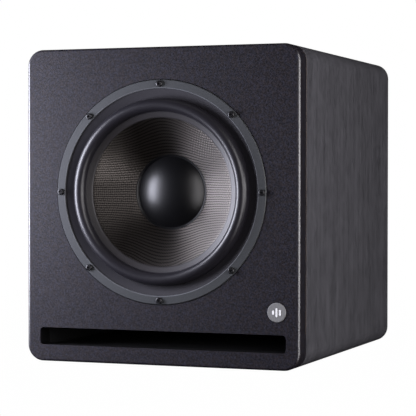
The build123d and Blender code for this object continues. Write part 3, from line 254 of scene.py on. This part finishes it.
def fibreboard():
    """Bare pressed fibre, sprayed black in the port and on the rear edges."""
    web = Web("fibreboard")
    fibres = web.noise(900.0, 6.0, (1, 1, 1), 0.6)
    tufts = web.noise(140.0, 4.0)
    blend = web.math("ADD", web.ranged(fibres, 0.3, 0.7, 0.0, 0.6), web.ranged(tufts, 0.3, 0.7, 0.0, 0.4))
    bare = web.mixed(blend, (0.20, 0.125, 0.068), (0.40, 0.275, 0.165))
    sprayed = web.mixed(blend, (0.0016, 0.0015, 0.0017), (0.0040, 0.0038, 0.0042))
    _, depth, up = web.axes()
    inside_port = web.math("LESS_THAN", up, SLOT_TOP)
    rear_edge = web.math("GREATER_THAN", depth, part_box("rear_panel")[1].y - 2 * MM)
    colour = web.mixed(inside_port, bare, sprayed)
    colour = web.mixed(rear_edge, colour, web.mixed(blend, (0.012, 0.012, 0.013), (0.024, 0.023, 0.025)))
    web.relief(fibres, 0.08)
    return web.finish(colour, web.ranged(fibres, 0.3, 0.7, 0.66, 0.85), specular=0.3)


def rear_board():
    """The back of the box: the same board, rolled black outside and bare inside."""
    web = Web("rear_board")
    fibres = web.noise(700.0, 5.0)
    roller = web.noise(240.0, 3.0)
    bare = web.mixed(web.ranged(fibres, 0.3, 0.7), (0.20, 0.125, 0.068), (0.40, 0.275, 0.165))
    rolled = web.mixed(web.ranged(roller, 0.3, 0.7), (0.012, 0.012, 0.013), (0.024, 0.023, 0.025))
    outside = web.math("GREATER_THAN", web.axes()[1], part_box("rear_panel")[1].y - 5 * MM)
    web.relief(web.math("ADD", roller, web.math("MULTIPLY", fibres, 0.4)), 0.12)
    return web.finish(web.mixed(outside, bare, rolled), web.ranged(roller, 0.3, 0.7, 0.5, 0.64), specular=0.4)


WEFT_PITCH = 2.7 * MM
WARP_PITCH = 1.5 * MM
WEAVE_BOW = 0.36
WEAVE_BOW_WIDTH = 30 * MM
WEAVE_TILT = math.radians(7.0)


def woven_cone():
    """Coated cloth pressed into a cone: level and upright threads that bow round its middle.

    Each set is glossy across its own direction. The sheen is partly painted: its strength fades to the left, most of
    all low down, standing in for how the lights fall.
    """
    web = Web("woven_cone")
    across, _, up = web.axes()
    up = web.math("SUBTRACT", up, AXIS_Z)

    def bowed(along, other):
        share = web.math("DIVIDE", other, WEAVE_BOW_WIDTH)
        bell = web.math("POWER", math.e, web.math("MULTIPLY", web.math("MULTIPLY", share, share), -0.5))
        return web.math("DIVIDE", along, web.math("ADD", web.math("MULTIPLY", bell, WEAVE_BOW), 1.0))

    def turns(value, pitch):
        return web.math("SINE", web.math("MULTIPLY", value, math.pi / pitch))

    wander = web.math("MULTIPLY", web.math("SUBTRACT", web.noise(60.0, 2.0), 0.5), 1.1 * MM)
    weft = turns(web.math("ADD", bowed(up, across), wander), WEFT_PITCH)
    warp = turns(web.math("ADD", bowed(across, up), wander), WARP_PITCH)
    warp_on_top = web.ranged(web.math("MULTIPLY", weft, warp), -0.12, 0.12)
    weft_crown = web.math("ABSOLUTE", weft)
    warp_crown = web.math("ABSOLUTE", warp)
    crown = web.math(
        "ADD",
        web.math("MULTIPLY", warp_crown, web.math("MULTIPLY", warp_on_top, 0.62)),
        web.math("MULTIPLY", weft_crown, web.math("SUBTRACT", 1.0, web.math("MULTIPLY", warp_on_top, 0.55))),
    )
    fuzz = web.noise(900.0, 3.0)
    worn = web.math("ADD", web.ranged(crown, 0.15, 1.0, 0.0, 0.8), web.ranged(fuzz, 0.35, 0.65, 0.0, 0.2))
    colour = web.mixed(worn, (0.0003, 0.0002, 0.0002), (0.0040, 0.0032, 0.0026))
    weft_across = (-math.sin(WEAVE_TILT), 0.0, math.cos(WEAVE_TILT))
    warp_across = (math.cos(WEAVE_TILT), 0.0, math.sin(WEAVE_TILT))
    tangent = web.mixed(warp_on_top, weft_across, warp_across)
    web.put(web.shader.inputs["Tangent"], tangent)
    web.shader.inputs["Anisotropic"].default_value = 0.76
    web.relief(crown, 0.10)
    web.shader.inputs["Specular Tint"].default_value = (1.0, 0.91, 0.84, 1.0)
    # Painted sheen: the specular level falls towards the left and rises again at the upper left, set by position to
    # stand in for how the lights fall; the weave's crowns set the rest
    painted_sheen = web.ranged(across, -50 * MM, 15 * MM, 0.25, 1.0)
    left = web.ranged(across, -34 * MM, -56 * MM)
    painted_sheen_upper_left = web.math("MULTIPLY", left, web.ranged(up, 8 * MM, 42 * MM, 0.0, 0.85))
    painted_sheen = web.math("ADD", painted_sheen, painted_sheen_upper_left)
    shine = web.math("MULTIPLY", web.ranged(crown, 0.22, 0.78, 0.03, 1.12), painted_sheen)
    return web.finish(colour, web.ranged(crown, 0.2, 1.0, 0.54, 0.40), specular=shine)


BOARD_FACE = FRONT + 345.9 * MM


def circuit_board():
    """Green board with paler tracks and dark parts standing on it."""
    web = Web("circuit_board")
    tracks = web.cells(260.0, (1, 1, 0.35))
    mask = web.ranged(tracks, 0.42, 0.46)
    parts = web.math("LESS_THAN", web.axes()[1], BOARD_FACE)
    laminate = web.mixed(mask, (0.006, 0.045, 0.020), (0.018, 0.105, 0.045))
    bodies = web.mixed(web.noise(400.0), (0.012, 0.012, 0.013), (0.03, 0.028, 0.027))
    web.relief(mask, 0.05)
    return web.finish(web.mixed(parts, laminate, bodies), web.ranged(web.noise(300.0), 0.3, 0.7, 0.28, 0.45))


def wound(name, dark, light, pitch_mm, direction, roughness, depth_mm, metallic=0.0):
    """Turns of wire or braid: narrow ridges along one axis, with grain between them."""
    web = Web(name)
    along = web.axes()["XYZ".index(direction)]
    ridge = web.math("ABSOLUTE", web.math("SINE", web.math("MULTIPLY", along, math.pi / (pitch_mm * MM))))
    grain = web.noise(900.0, 3.0)
    colour = web.mixed(web.math("MULTIPLY", web.math("ADD", ridge, grain), 0.5), dark, light)
    web.relief(ridge, depth_mm)
    return web.finish(colour, web.ranged(grain, 0.3, 0.7, *roughness), metallic=metallic)


def tape_wrap():
    """Overlapping turns of yellowish tape, raked across the ring core."""
    web = Web("transformer_tape")
    node = web.tree.nodes.new("ShaderNodeTexWave")
    web.put(node.inputs["Vector"], web.stretched((1, 1, 1)))
    node.inputs["Scale"].default_value = 46.0
    node.inputs["Distortion"].default_value = 3.0
    node.inputs["Detail Scale"].default_value = 2.0
    grain = web.noise(500.0, 4.0)
    blend = web.math("MULTIPLY", web.math("ADD", node.outputs["Fac"], grain), 0.5)
    colour = web.mixed(blend, (0.25, 0.16, 0.03), (0.55, 0.40, 0.10))
    web.relief(node.outputs["Fac"], 0.2)
    return web.finish(colour, web.ranged(grain, 0.3, 0.7, 0.3, 0.5))


def glowing_lens():
    """A tinted indicator lens with a faint core."""
    web = Web("led_lens")
    core = web.noise(500.0, 2.0)
    web.shader.inputs["Transmission Weight"].default_value = 0.5
    web.shader.inputs["Emission Color"].default_value = (0.10, 0.75, 0.18, 1)
    web.shader.inputs["Emission Strength"].default_value = 0.35
    return web.finish(web.mixed(core, (0.02, 0.28, 0.05), (0.05, 0.45, 0.10)), web.ranged(core, 0.3, 0.7, 0.1, 0.2))


FINISHES = {
    "baffle_paint": baffle_paint(),
    "fibreboard": fibreboard(),
    "rear_board": rear_board(),
    "vinyl": vinyl(),
    "damping_foam": grained("damping_foam", (0.030, 0.030, 0.034), (0.085, 0.085, 0.092), (0.85, 0.97), 420, 0.5),
    "rubber": grained("rubber", (0.010, 0.010, 0.011), (0.024, 0.024, 0.026), (0.55, 0.72), 700, 0.05),
    "surround_rubber": surround_rubber(),
    "gasket_foam": grained("gasket_foam", (0.014, 0.014, 0.015), (0.05, 0.05, 0.052), (0.85, 0.95), 900, 0.15),
    "ring_card": grained(
        "ring_card", (0.0090, 0.0082, 0.0106), (0.0180, 0.0166, 0.0212), (0.58, 0.7), 900, 0.05, specular=0.25
    ),
    "frame_paint": frame_paint(),
    "black_screw": grained(
        "black_screw", (0.010, 0.010, 0.011), (0.030, 0.029, 0.031), (0.22, 0.36), 600, 0.02, metallic=0.55
    ),
    "woven_cone": woven_cone(),
    "cap_plastic": grained(
        "cap_plastic", (0.0014, 0.0014, 0.0018), (0.0022, 0.0022, 0.0028), (0.34, 0.38), 800, 0.004, specular=0.33
    ),
    "aluminium_foil": grained(
        "aluminium_foil", (0.62, 0.62, 0.63), (0.82, 0.82, 0.83), (0.25, 0.4), 300, 0.02, (1, 6, 1), metallic=1.0
    ),
    "copper_winding": wound(
        "copper_winding", (0.35, 0.13, 0.05), (0.80, 0.36, 0.18), 0.4, "Y", (0.25, 0.4), 0.1, 1.0
    ),
    "motor_steel": grained(
        "motor_steel", (0.36, 0.35, 0.32), (0.55, 0.54, 0.50), (0.28, 0.42), 260, 0.02, metallic=1.0
    ),
    "ferrite": grained("ferrite", (0.016, 0.016, 0.017), (0.050, 0.049, 0.050), (0.55, 0.72), 380, 0.06),
    "black_plastic": grained("black_plastic", (0.010, 0.010, 0.011), (0.022, 0.022, 0.023), (0.36, 0.5), 900, 0.02),
    "tinsel": wound("tinsel", (0.30, 0.16, 0.08), (0.78, 0.48, 0.30), 0.5, "Y", (0.3, 0.45), 0.12, 1.0),
    "cable_jacket": grained("cable_jacket", (0.16, 0.012, 0.010), (0.26, 0.022, 0.018), (0.4, 0.5), 500, 0.02),
    "plate_paint": grained("plate_paint", (0.012, 0.012, 0.013), (0.030, 0.029, 0.031), (0.42, 0.58), 1300, 0.06),
    "heatsink_metal": grained(
        "heatsink_metal", (0.010, 0.010, 0.012), (0.034, 0.034, 0.037), (0.3, 0.45), 700, 0.02, (1, 1, 0.03),
        metallic=0.6,
    ),
    "circuit_board": circuit_board(),
    "capacitor_sleeve": grained(
        "capacitor_sleeve", (0.006, 0.014, 0.055), (0.014, 0.030, 0.095), (0.25, 0.38), 300, 0.01
    ),
    "transformer_tape": tape_wrap(),
    "bright_screw": grained(
        "bright_screw", (0.42, 0.42, 0.43), (0.66, 0.66, 0.67), (0.2, 0.36), 500, 0.02, metallic=1.0
    ),
    "knob_plastic": grained("knob_plastic", (0.012, 0.012, 0.013), (0.026, 0.026, 0.027), (0.3, 0.45), 900, 0.02),
    "shaft_metal": grained(
        "shaft_metal", (0.45, 0.45, 0.46), (0.68, 0.68, 0.69), (0.25, 0.4), 500, 0.02, (1, 12, 1), metallic=1.0
    ),
    "connector_metal": grained(
        "connector_metal", (0.014, 0.014, 0.015), (0.045, 0.045, 0.048), (0.28, 0.42), 600, 0.02, metallic=0.7
    ),
    "rca_metal": grained(
        "rca_metal", (0.60, 0.42, 0.16), (0.86, 0.65, 0.30), (0.2, 0.34), 500, 0.02, metallic=1.0
    ),
    "latch_metal": grained(
        "latch_metal", (0.40, 0.40, 0.41), (0.62, 0.62, 0.63), (0.24, 0.4), 500, 0.02, metallic=1.0
    ),
    "badge_metal": grained(
        "badge_metal", (0.125, 0.125, 0.125), (0.165, 0.165, 0.165), (0.45, 0.55), 900, 0.01, (1, 1, 0.1)
    ),
    "badge_print": grained("badge_print", (0.60, 0.60, 0.60), (0.78, 0.78, 0.78), (0.4, 0.5), 700, 0.01),
    "led_lens": glowing_lens(),
}


def spider_cloth():
    """Open cotton weave, stiffened with resin."""
    web = Web("spider_cloth")
    across, _, up = web.axes()
    threads = [web.math("ABSOLUTE", web.math("SINE", web.math("MULTIPLY", a, math.pi / MM))) for a in (across, up)]
    crossing = web.math("MULTIPLY", threads[0], threads[1])
    colour = web.mixed(crossing, (0.16, 0.090, 0.030), (0.52, 0.36, 0.17))
    web.relief(crossing, 0.12)
    return web.finish(colour, web.ranged(web.noise(400.0), 0.3, 0.7, 0.7, 0.9))


FINISHES["spider_cloth"] = spider_cloth()

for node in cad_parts.values():
    for material_slot in node.material_slots:
        material_slot.material = FINISHES[material_slot.material.name]


# ---------------------------------------------------------------- pieces


def mesh_object(name, bm, sharp_degrees=35.0):
    """A smooth-shaded object from a bmesh, with hard edges above an angle."""
    bmesh.ops.recalc_face_normals(bm, faces=bm.faces[:])
    for face in bm.faces:
        face.smooth = True
    mesh = bpy.data.meshes.new(name)
    bm.to_mesh(mesh)
    bm.free()
    mesh.set_sharp_from_angle(angle=math.radians(sharp_degrees))
    obj = bpy.data.objects.new(name, mesh)
    bpy.context.collection.objects.link(obj)
    return obj


def dress(obj, finish, *replaced):
    """Gives a piece its finish and the CAD nodes that it stands for."""
    obj.data.materials.clear()
    obj.data.materials.append(FINISHES[finish])
    if replaced:
        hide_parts(*replaced)
    return obj


def turned(name, outline, segments=320, sharp_degrees=35.0):
    """A closed (radius, depth) outline swept round the driver's axis."""
    bm = bmesh.new()
    rings = []
    for radius, depth in outline:
        y = FRONT + depth * MM
        if radius < 0.001:
            rings.append([bm.verts.new((0, y, AXIS_Z))])
        else:
            angles = [2 * math.pi * index / segments for index in range(segments)]
            rings.append(
                [bm.verts.new((radius * MM * math.cos(a), y, AXIS_Z + radius * MM * math.sin(a))) for a in angles]
            )
    for ring, following in zip(rings, rings[1:] + rings[:1]):
        if len(ring) == 1 and len(following) == 1:
            continue
        for index in range(segments):
            after = (index + 1) % segments
            corners = []
            for group, place in ((ring, index), (ring, after), (following, after), (following, index)):
                vert = group[place] if len(group) > 1 else group[0]
                if vert not in corners:
                    corners.append(vert)
            bm.faces.new(corners)
    return mesh_object(name, bm, sharp_degrees)


def arc(centre_radius, centre_depth, size, start, end, steps):
    """Outline points on an arc; 0 degrees points straight out of the front and 90 away from the axis."""
    tilts = [math.radians(start + (end - start) * step / steps) for step in range(steps + 1)]
    return [(centre_radius + size * math.sin(t), centre_depth - size * math.cos(t)) for t in tilts]


def smooth_share(value):
    value = min(1.0, max(0.0, value))
    return value * value * (3 - 2 * value)


def stretch_round(obj, moving_radius, fixed_radius):
    """Makes a ring follow the cone inside one radius and the cabinet outside another, easing over between them."""
    centre = Vector((0, FRONT, AXIS_Z))
    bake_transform(obj, "cabinet", "cone_body", start=centre, end=centre + Vector((0, 0.1, 0)))
    weights = obj.data.attributes["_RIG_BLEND"].data
    for vertex, weight in zip(obj.data.vertices, weights):
        radius = math.hypot(vertex.co.x, vertex.co.z - AXIS_Z) / MM
        weight.value = smooth_share((fixed_radius - radius) / (fixed_radius - moving_radius))
    return obj


# Surround: tall half-roll with upright flanks and eased roots, and an inner lip on the cone's rim
ROLL = 7.6
ROLL_MIDDLE = 104.1
ROLL_CENTRE = -0.46
LEDGE = 6.5
SKIN = 1.0
EASE = 0.9

# Cone: its straight side runs from the edge to the neck, and a flatter rim lies outside the edge
CONE_EDGE = 88.5
CONE_FRONT = 4.8
RIM_SLOPE = 0.5
NECK = 25.3
NECK_FRONT = 51.0
CLOTH = 1.4


def lip_depth(radius):
    """The cone's rim, which the lip lies on."""
    return CONE_FRONT - (radius - CONE_EDGE) * RIM_SLOPE


outer_foot = ROLL_MIDDLE + ROLL
inner_foot = ROLL_MIDDLE - ROLL
lip_edge = inner_foot + SKIN
root = LEDGE - SKIN
surround_outline = [(123.3, LEDGE), (123.3, root + 0.2), (123.1, root), (outer_foot + EASE, root)]
surround_outline += [
    (outer_foot + EASE - EASE * math.sin(t), root - EASE + EASE * math.cos(t)) for t in (0.4, 0.8, 1.2)
]
surround_outline += arc(ROLL_MIDDLE, ROLL_CENTRE, ROLL, 90, -90, 48)
lip_section = [(96.45, 1.05), (96.1, 1.02), (95.4, 1.0), (91.6, 1.0), (90.0, 1.0), (89.4, 0.9), (89.05, 0.66)]
lip_section += [(88.9, 0.35), (88.9, 0.0)]
surround_outline += [(radius, lip_depth(radius) - rise) for radius, rise in lip_section]
surround_outline += [(lip_edge, lip_depth(lip_edge)), (lip_edge, ROLL_CENTRE)]
surround_outline += arc(ROLL_MIDDLE, ROLL_CENTRE, ROLL - SKIN, -90, 90, 24)[1:]
surround_outline += [(outer_foot - SKIN, LEDGE)]
surround = dress(turned("surround_roll", surround_outline), "surround_rubber", "surround")
stretch_round(surround, inner_foot, outer_foot)

# Cone: straight side, with a flatter rim under the lip
CONE_RUN = CONE_EDGE - NECK
CONE_FALL = NECK_FRONT - CONE_FRONT
neck_back = NECK_FRONT + CLOTH
cone_outline = [(radius, lip_depth(radius)) for radius in (lip_edge, 94.0, 90.0)] + [(CONE_EDGE, CONE_FRONT)]
cone_outline += [(CONE_EDGE - CONE_RUN * s / 24, CONE_FRONT + CONE_FALL * s / 24) for s in range(1, 25)]
cone_outline += [(NECK, neck_back)]
cone_outline += [(NECK + CONE_RUN * s / 12, neck_back - CONE_FALL * s / 12) for s in range(1, 13)]
cone_outline += [(lip_edge, lip_depth(lip_edge) + CLOTH)]
cone = dress(turned("cone_cloth", cone_outline, 360), "woven_cone", "cone")
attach(cone, "cone_body")

# Dust cap: satin dome, a fine step and a narrow glued flange
CAP = 42.6
CAP_RISE = 15.0
dome = (CAP**2 + CAP_RISE**2) / (2 * CAP_RISE)
dome_middle = 37.6 - CAP_RISE + dome
edge_tilt = math.degrees(math.asin(CAP / dome))
cap_outline = [(45.4, 36.3), (45.4, 35.6), (45.2, 35.35), (44.8, 35.4), (44.2, 35.85), (43.5, 36.7)]
cap_outline += [(43.0, 37.45), (42.75, 37.6)]
cap_outline += arc(0, dome_middle, dome, edge_tilt, 0, 40)
cap_outline += arc(0, dome_middle + 1.0, dome, 0, edge_tilt - 1.2, 24)
cap_outline += [(41.7, 39.4)]
cap = dress(turned("dust_dome", cap_outline, 256), "cap_plastic", "dust_cap")
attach(cap, "cone_body")

# Spider: corrugated cloth disc with a flat collar and a flat edge
SPIDER_DEPTH = 56.2
SPIDER_CLOTH = 0.8
SPIDER_INNER = 31.0
SPIDER_OUTER = 76.0
SPIDER_EDGE = 86.5


def spider_side(offset):
    points = []
    for step in range(101):
        share = step / 100
        radius = SPIDER_INNER + (SPIDER_OUTER - SPIDER_INNER) * share
        points.append((radius, SPIDER_DEPTH + offset - 1.6 * math.sin(10 * math.pi * share)))
    return points


spider_outline = [(NECK, SPIDER_DEPTH)] + spider_side(0.0)
spider_outline += [(SPIDER_EDGE, SPIDER_DEPTH), (SPIDER_EDGE, SPIDER_DEPTH + SPIDER_CLOTH)]
spider_outline += spider_side(SPIDER_CLOTH)[::-1] + [(NECK, SPIDER_DEPTH + SPIDER_CLOTH)]
spider = dress(turned("spider_disc", spider_outline, 160), "spider_cloth", "spider")
stretch_round(spider, SPIDER_INNER, SPIDER_OUTER)

# Damping mats: convoluted foam, flat on the panels and waved towards the inside. The rim, the rise from the rim to
# the middle and the wave are shares of the mat's full thickness.
FOAM_PITCH = 32 * MM
FOAM_RIM = 0.58
FOAM_RISE = 0.12
FOAM_WAVE = 0.28


def foam_mat(bm, corner, along, across, inward):
    """A pad of foam on a panel: a flat back, upright edges and an egg-crate face."""
    steps = [max(8, round(v.length / FOAM_PITCH * 10)) for v in (along, across)]
    grids = []
    for face in (0, 1):
        grid = []
        for i in range(steps[0] + 1):
            row = []
            for j in range(steps[1] + 1):
                u, v = i / steps[0], j / steps[1]
                wave = math.sin(math.pi * u * round(along.length / FOAM_PITCH) * 2)
                wave *= math.sin(math.pi * v * round(across.length / FOAM_PITCH) * 2)
                edge = smooth_share(min(u, 1 - u, v, 1 - v) * 24)
                height = face * (FOAM_RIM + FOAM_RISE * edge + FOAM_WAVE * edge * wave)
                row.append(bm.verts.new(corner + along * u + across * v + inward * height))
            grid.append(row)
        grids.append(grid)
    back, waved = grids
    for i in range(steps[0]):
        for j in range(steps[1]):
            bm.faces.new((waved[i][j], waved[i + 1][j], waved[i + 1][j + 1], waved[i][j + 1]))
            bm.faces.new((back[i][j], back[i][j + 1], back[i + 1][j + 1], back[i + 1][j]))
    for i in range(steps[0]):
        for j in (0, steps[1]):
            bm.faces.new((back[i][j], back[i + 1][j], waved[i + 1][j], waved[i][j]))
    for j in range(steps[1]):
        for i in (0, steps[0]):
            bm.faces.new((back[i][j], waved[i][j], waved[i][j + 1], back[i][j + 1]))


foam_bm = bmesh.new()
lining_low, lining_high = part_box("acoustic_lining")
MAT = 15 * MM
mat_depth = Vector((0, lining_high.y - lining_low.y, 0))
side_height = Vector((0, 0, 270 * MM))
for side in (-1, 1):
    wall = lining_low.x if side < 0 else lining_high.x
    wall_corner = Vector((wall, lining_low.y, lining_low.z))
    foam_mat(foam_bm, wall_corner, mat_depth, side_height, Vector((-side * MAT, 0, 0)))
top_corner = Vector((-120 * MM, lining_low.y, lining_high.z))
foam_mat(foam_bm, top_corner, mat_depth, Vector((240 * MM, 0, 0)), Vector((0, 0, -MAT)))
lining = dress(mesh_object("foam_lining", foam_bm, 50.0), "damping_foam", "acoustic_lining")
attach(lining, "cabinet")


def route(name, points):
    """A smooth curve steered by the route's points.

    Each is (x, height, depth) in millimetres from the middle of the front's lower edge.
    """
    curve = bpy.data.curves.new(name, "CURVE")
    curve.dimensions = "3D"
    curve.resolution_u = 12
    spline = curve.splines.new("NURBS")
    spline.points.add(len(points) - 1)
    for target, (x, height, depth) in zip(spline.points, points):
        target.co = (x * MM, FRONT + depth * MM, UNDERSIDE + height * MM, 1.0)
    spline.order_u = 3
    spline.use_endpoint_u = True
    obj = bpy.data.objects.new(name, curve)
    bpy.context.collection.objects.link(obj)
    return obj


def curve_points(obj):
    """Points along a curve that has no bevel."""
    bpy.context.view_layer.update()
    line = bpy.data.meshes.new_from_object(obj.evaluated_get(bpy.context.evaluated_depsgraph_get()))
    points = [v.co.copy() for v in line.vertices]
    bpy.data.meshes.remove(line)
    return points


# Speaker lead, from the terminal block through the clip and the grommet to the board
AXIS = (AXIS_Z - UNDERSIDE) / MM
LEAD_DIAMETER = 5.0 * MM
TINSEL_DIAMETER = 1.6 * MM
lead_points = [(0, AXIS - 98, 70), (0, AXIS - 98, 106), (14, 101, 138), (40, 91.5, 166), (40, 91.5, 232)]
lead_points += [(48, 104, 278), (48, 104, 334)]
lead = route("speaker_cord", lead_points)
lead_path = curve_points(lead)
lead.data.bevel_depth = LEAD_DIAMETER / 2
lead.data.bevel_resolution = 6
dress(lead, "cable_jacket", "speaker_lead")
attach(lead, "cabinet")

# Two braided leads that flex with the cone
for side, label in ((-1, "left"), (1, "right")):
    tinsel_points = [(side * 17, AXIS - 98, 50), (side * 17, AXIS - 98, 37), (side * 15, AXIS - 84, 28)]
    tinsel_points += [(side * 12, AXIS - 67, 34.5), (side * 10, AXIS - 53, 42), (side * 9, AXIS - 44.5, 39.3)]
    guide = route("tinsel_guide_" + label, tinsel_points)
    tinsel_path = curve_points(guide)
    guide.data.bevel_depth = TINSEL_DIAMETER / 2
    guide.data.bevel_resolution = 4
    guide.data.use_fill_caps = True
    bpy.context.view_layer.update()
    tube = bpy.data.meshes.new_from_object(guide.evaluated_get(bpy.context.evaluated_depsgraph_get()))
    bpy.data.objects.remove(guide)
    tinsel = bpy.data.objects.new("tinsel_braid_" + label, tube)
    bpy.context.collection.objects.link(tinsel)
    dress(tinsel, "tinsel", "tinsel_leads")
    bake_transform(tinsel, "cabinet", "cone_body", start=tinsel_path[0], end=tinsel_path[-1])


# ---------------------------------------------------------------- stage, lights and camera


def stage_material():
    """Plain pale floor that no light changes, so that it runs into the background without a line."""
    material = bpy.data.materials.new("stage_floor")
    material.use_nodes = True
    tree = material.node_tree
    place = tree.nodes.new("ShaderNodeTexCoord")
    reach = tree.nodes.new("ShaderNodeVectorMath")
    reach.operation = "LENGTH"
    tree.links.new(place.outputs["Object"], reach.inputs[0])
    fade = tree.nodes.new("ShaderNodeMapRange")
    for key, number in (("From Min", 0.2), ("From Max", 1.4), ("To Min", 0.995), ("To Max", 1.0)):
        fade.inputs[key].default_value = number
    tree.links.new(reach.outputs["Value"], fade.inputs["Value"])
    shader = tree.nodes["Principled BSDF"]
    shader.inputs["Base Color"].default_value = (0, 0, 0, 1)
    shader.inputs["Roughness"].default_value = 0.9
    shader.inputs["Specular IOR Level"].default_value = 0.0
    shader.inputs["Emission Color"].default_value = (1, 1, 1, 1)
    tree.links.new(fade.outputs["Result"], shader.inputs["Emission Strength"])
    return material


floor_bm = bmesh.new()
bmesh.ops.create_grid(floor_bm, x_segments=1, y_segments=1, size=30)
floor = mesh_object("floor", floor_bm)
floor.location = (0, 0, -0.0002)
floor.data.materials.append(stage_material())
floor.visible_diffuse = floor.visible_glossy = floor.visible_transmission = False

world = bpy.data.worlds.new("studio")
bpy.context.scene.world = world
world.use_nodes = True
world.node_tree.nodes["Background"].inputs["Color"].default_value = (1, 1, 1, 1)
world.node_tree.nodes["Background"].inputs["Strength"].default_value = 1.0
world.cycles_visibility.diffuse = False
world.cycles_visibility.glossy = False
world.cycles_visibility.transmission = False


def softbox(name, target, azimuth, elevation, distance, width, height, radiance, colour):
    """A rectangular light aimed at a point; azimuth 0 is in front of the object and 90 on its right."""
    a, e = math.radians(azimuth), math.radians(elevation)
    away = Vector((math.sin(a) * math.cos(e), -math.cos(a) * math.cos(e), math.sin(e)))
    light = bpy.data.lights.new(name, "AREA")
    light.shape = "RECTANGLE"
    light.size, light.size_y = width, height
    light.energy = radiance * math.pi * width * height
    light.color = colour
    obj = bpy.data.objects.new(name, light)
    bpy.context.collection.objects.link(obj)
    obj.location = target + away * distance
    obj.rotation_mode = "QUATERNION"
    obj.rotation_quaternion = away.to_track_quat("Z", "Y")
    obj.visible_camera = False
    return obj


driver_middle = Vector((0, FRONT, AXIS_Z))
softbox("key_left", driver_middle, -65, 5.0, 0.60, 0.31, 0.42, 30.0, (0.94, 0.95, 1.10))
softbox("fill_right", driver_middle, 52, 4.0, 1.20, 0.50, 1.40, 8.0, (1.0, 0.97, 1.0))
softbox("side_right", Vector((0.175, 0, 0.2)), 75, 2.0, 1.40, 0.90, 0.50, 10.2, (1.0, 0.98, 1.0))
softbox("top", Vector((0, 0, 0.4)), 0, 80, 1.30, 0.90, 0.90, 0.4, (1, 1, 1))
softbox("back", Vector((0, 0.2, 0.15)), 200, 0.0, 1.60, 0.90, 0.36, 26.0, (1, 1, 1))

# The camera stands level with the driver, to the right of its axis
CAMERA_PLACE = Vector((0.7569, FRONT - 1.8395, 0.2280))
CAMERA_YAW = math.radians(20.708)
CAMERA_PITCH = math.radians(-1.003)
CAMERA_ROLL = math.radians(0.055)
camera_data = bpy.data.cameras.new("camera")
camera_data.sensor_width = 36.0
camera_data.lens = 144.65
camera_data.clip_end = 100.0
camera = bpy.data.objects.new("camera", camera_data)
bpy.context.collection.objects.link(camera)
forward = Vector(
    (
        -math.sin(CAMERA_YAW) * math.cos(CAMERA_PITCH),
        math.cos(CAMERA_YAW) * math.cos(CAMERA_PITCH),
        math.sin(CAMERA_PITCH),
    )
)
level_right = forward.cross(Vector((0, 0, 1))).normalized()
level_up = level_right.cross(forward)
right = level_right * math.cos(CAMERA_ROLL) + level_up * math.sin(CAMERA_ROLL)
upward = right.cross(forward)
turn = Matrix((right, upward, -forward)).transposed().to_4x4()
camera.matrix_world = Matrix.Translation(CAMERA_PLACE) @ turn
bpy.context.scene.camera = camera
bpy.context.scene.view_settings.view_transform = "Standard"
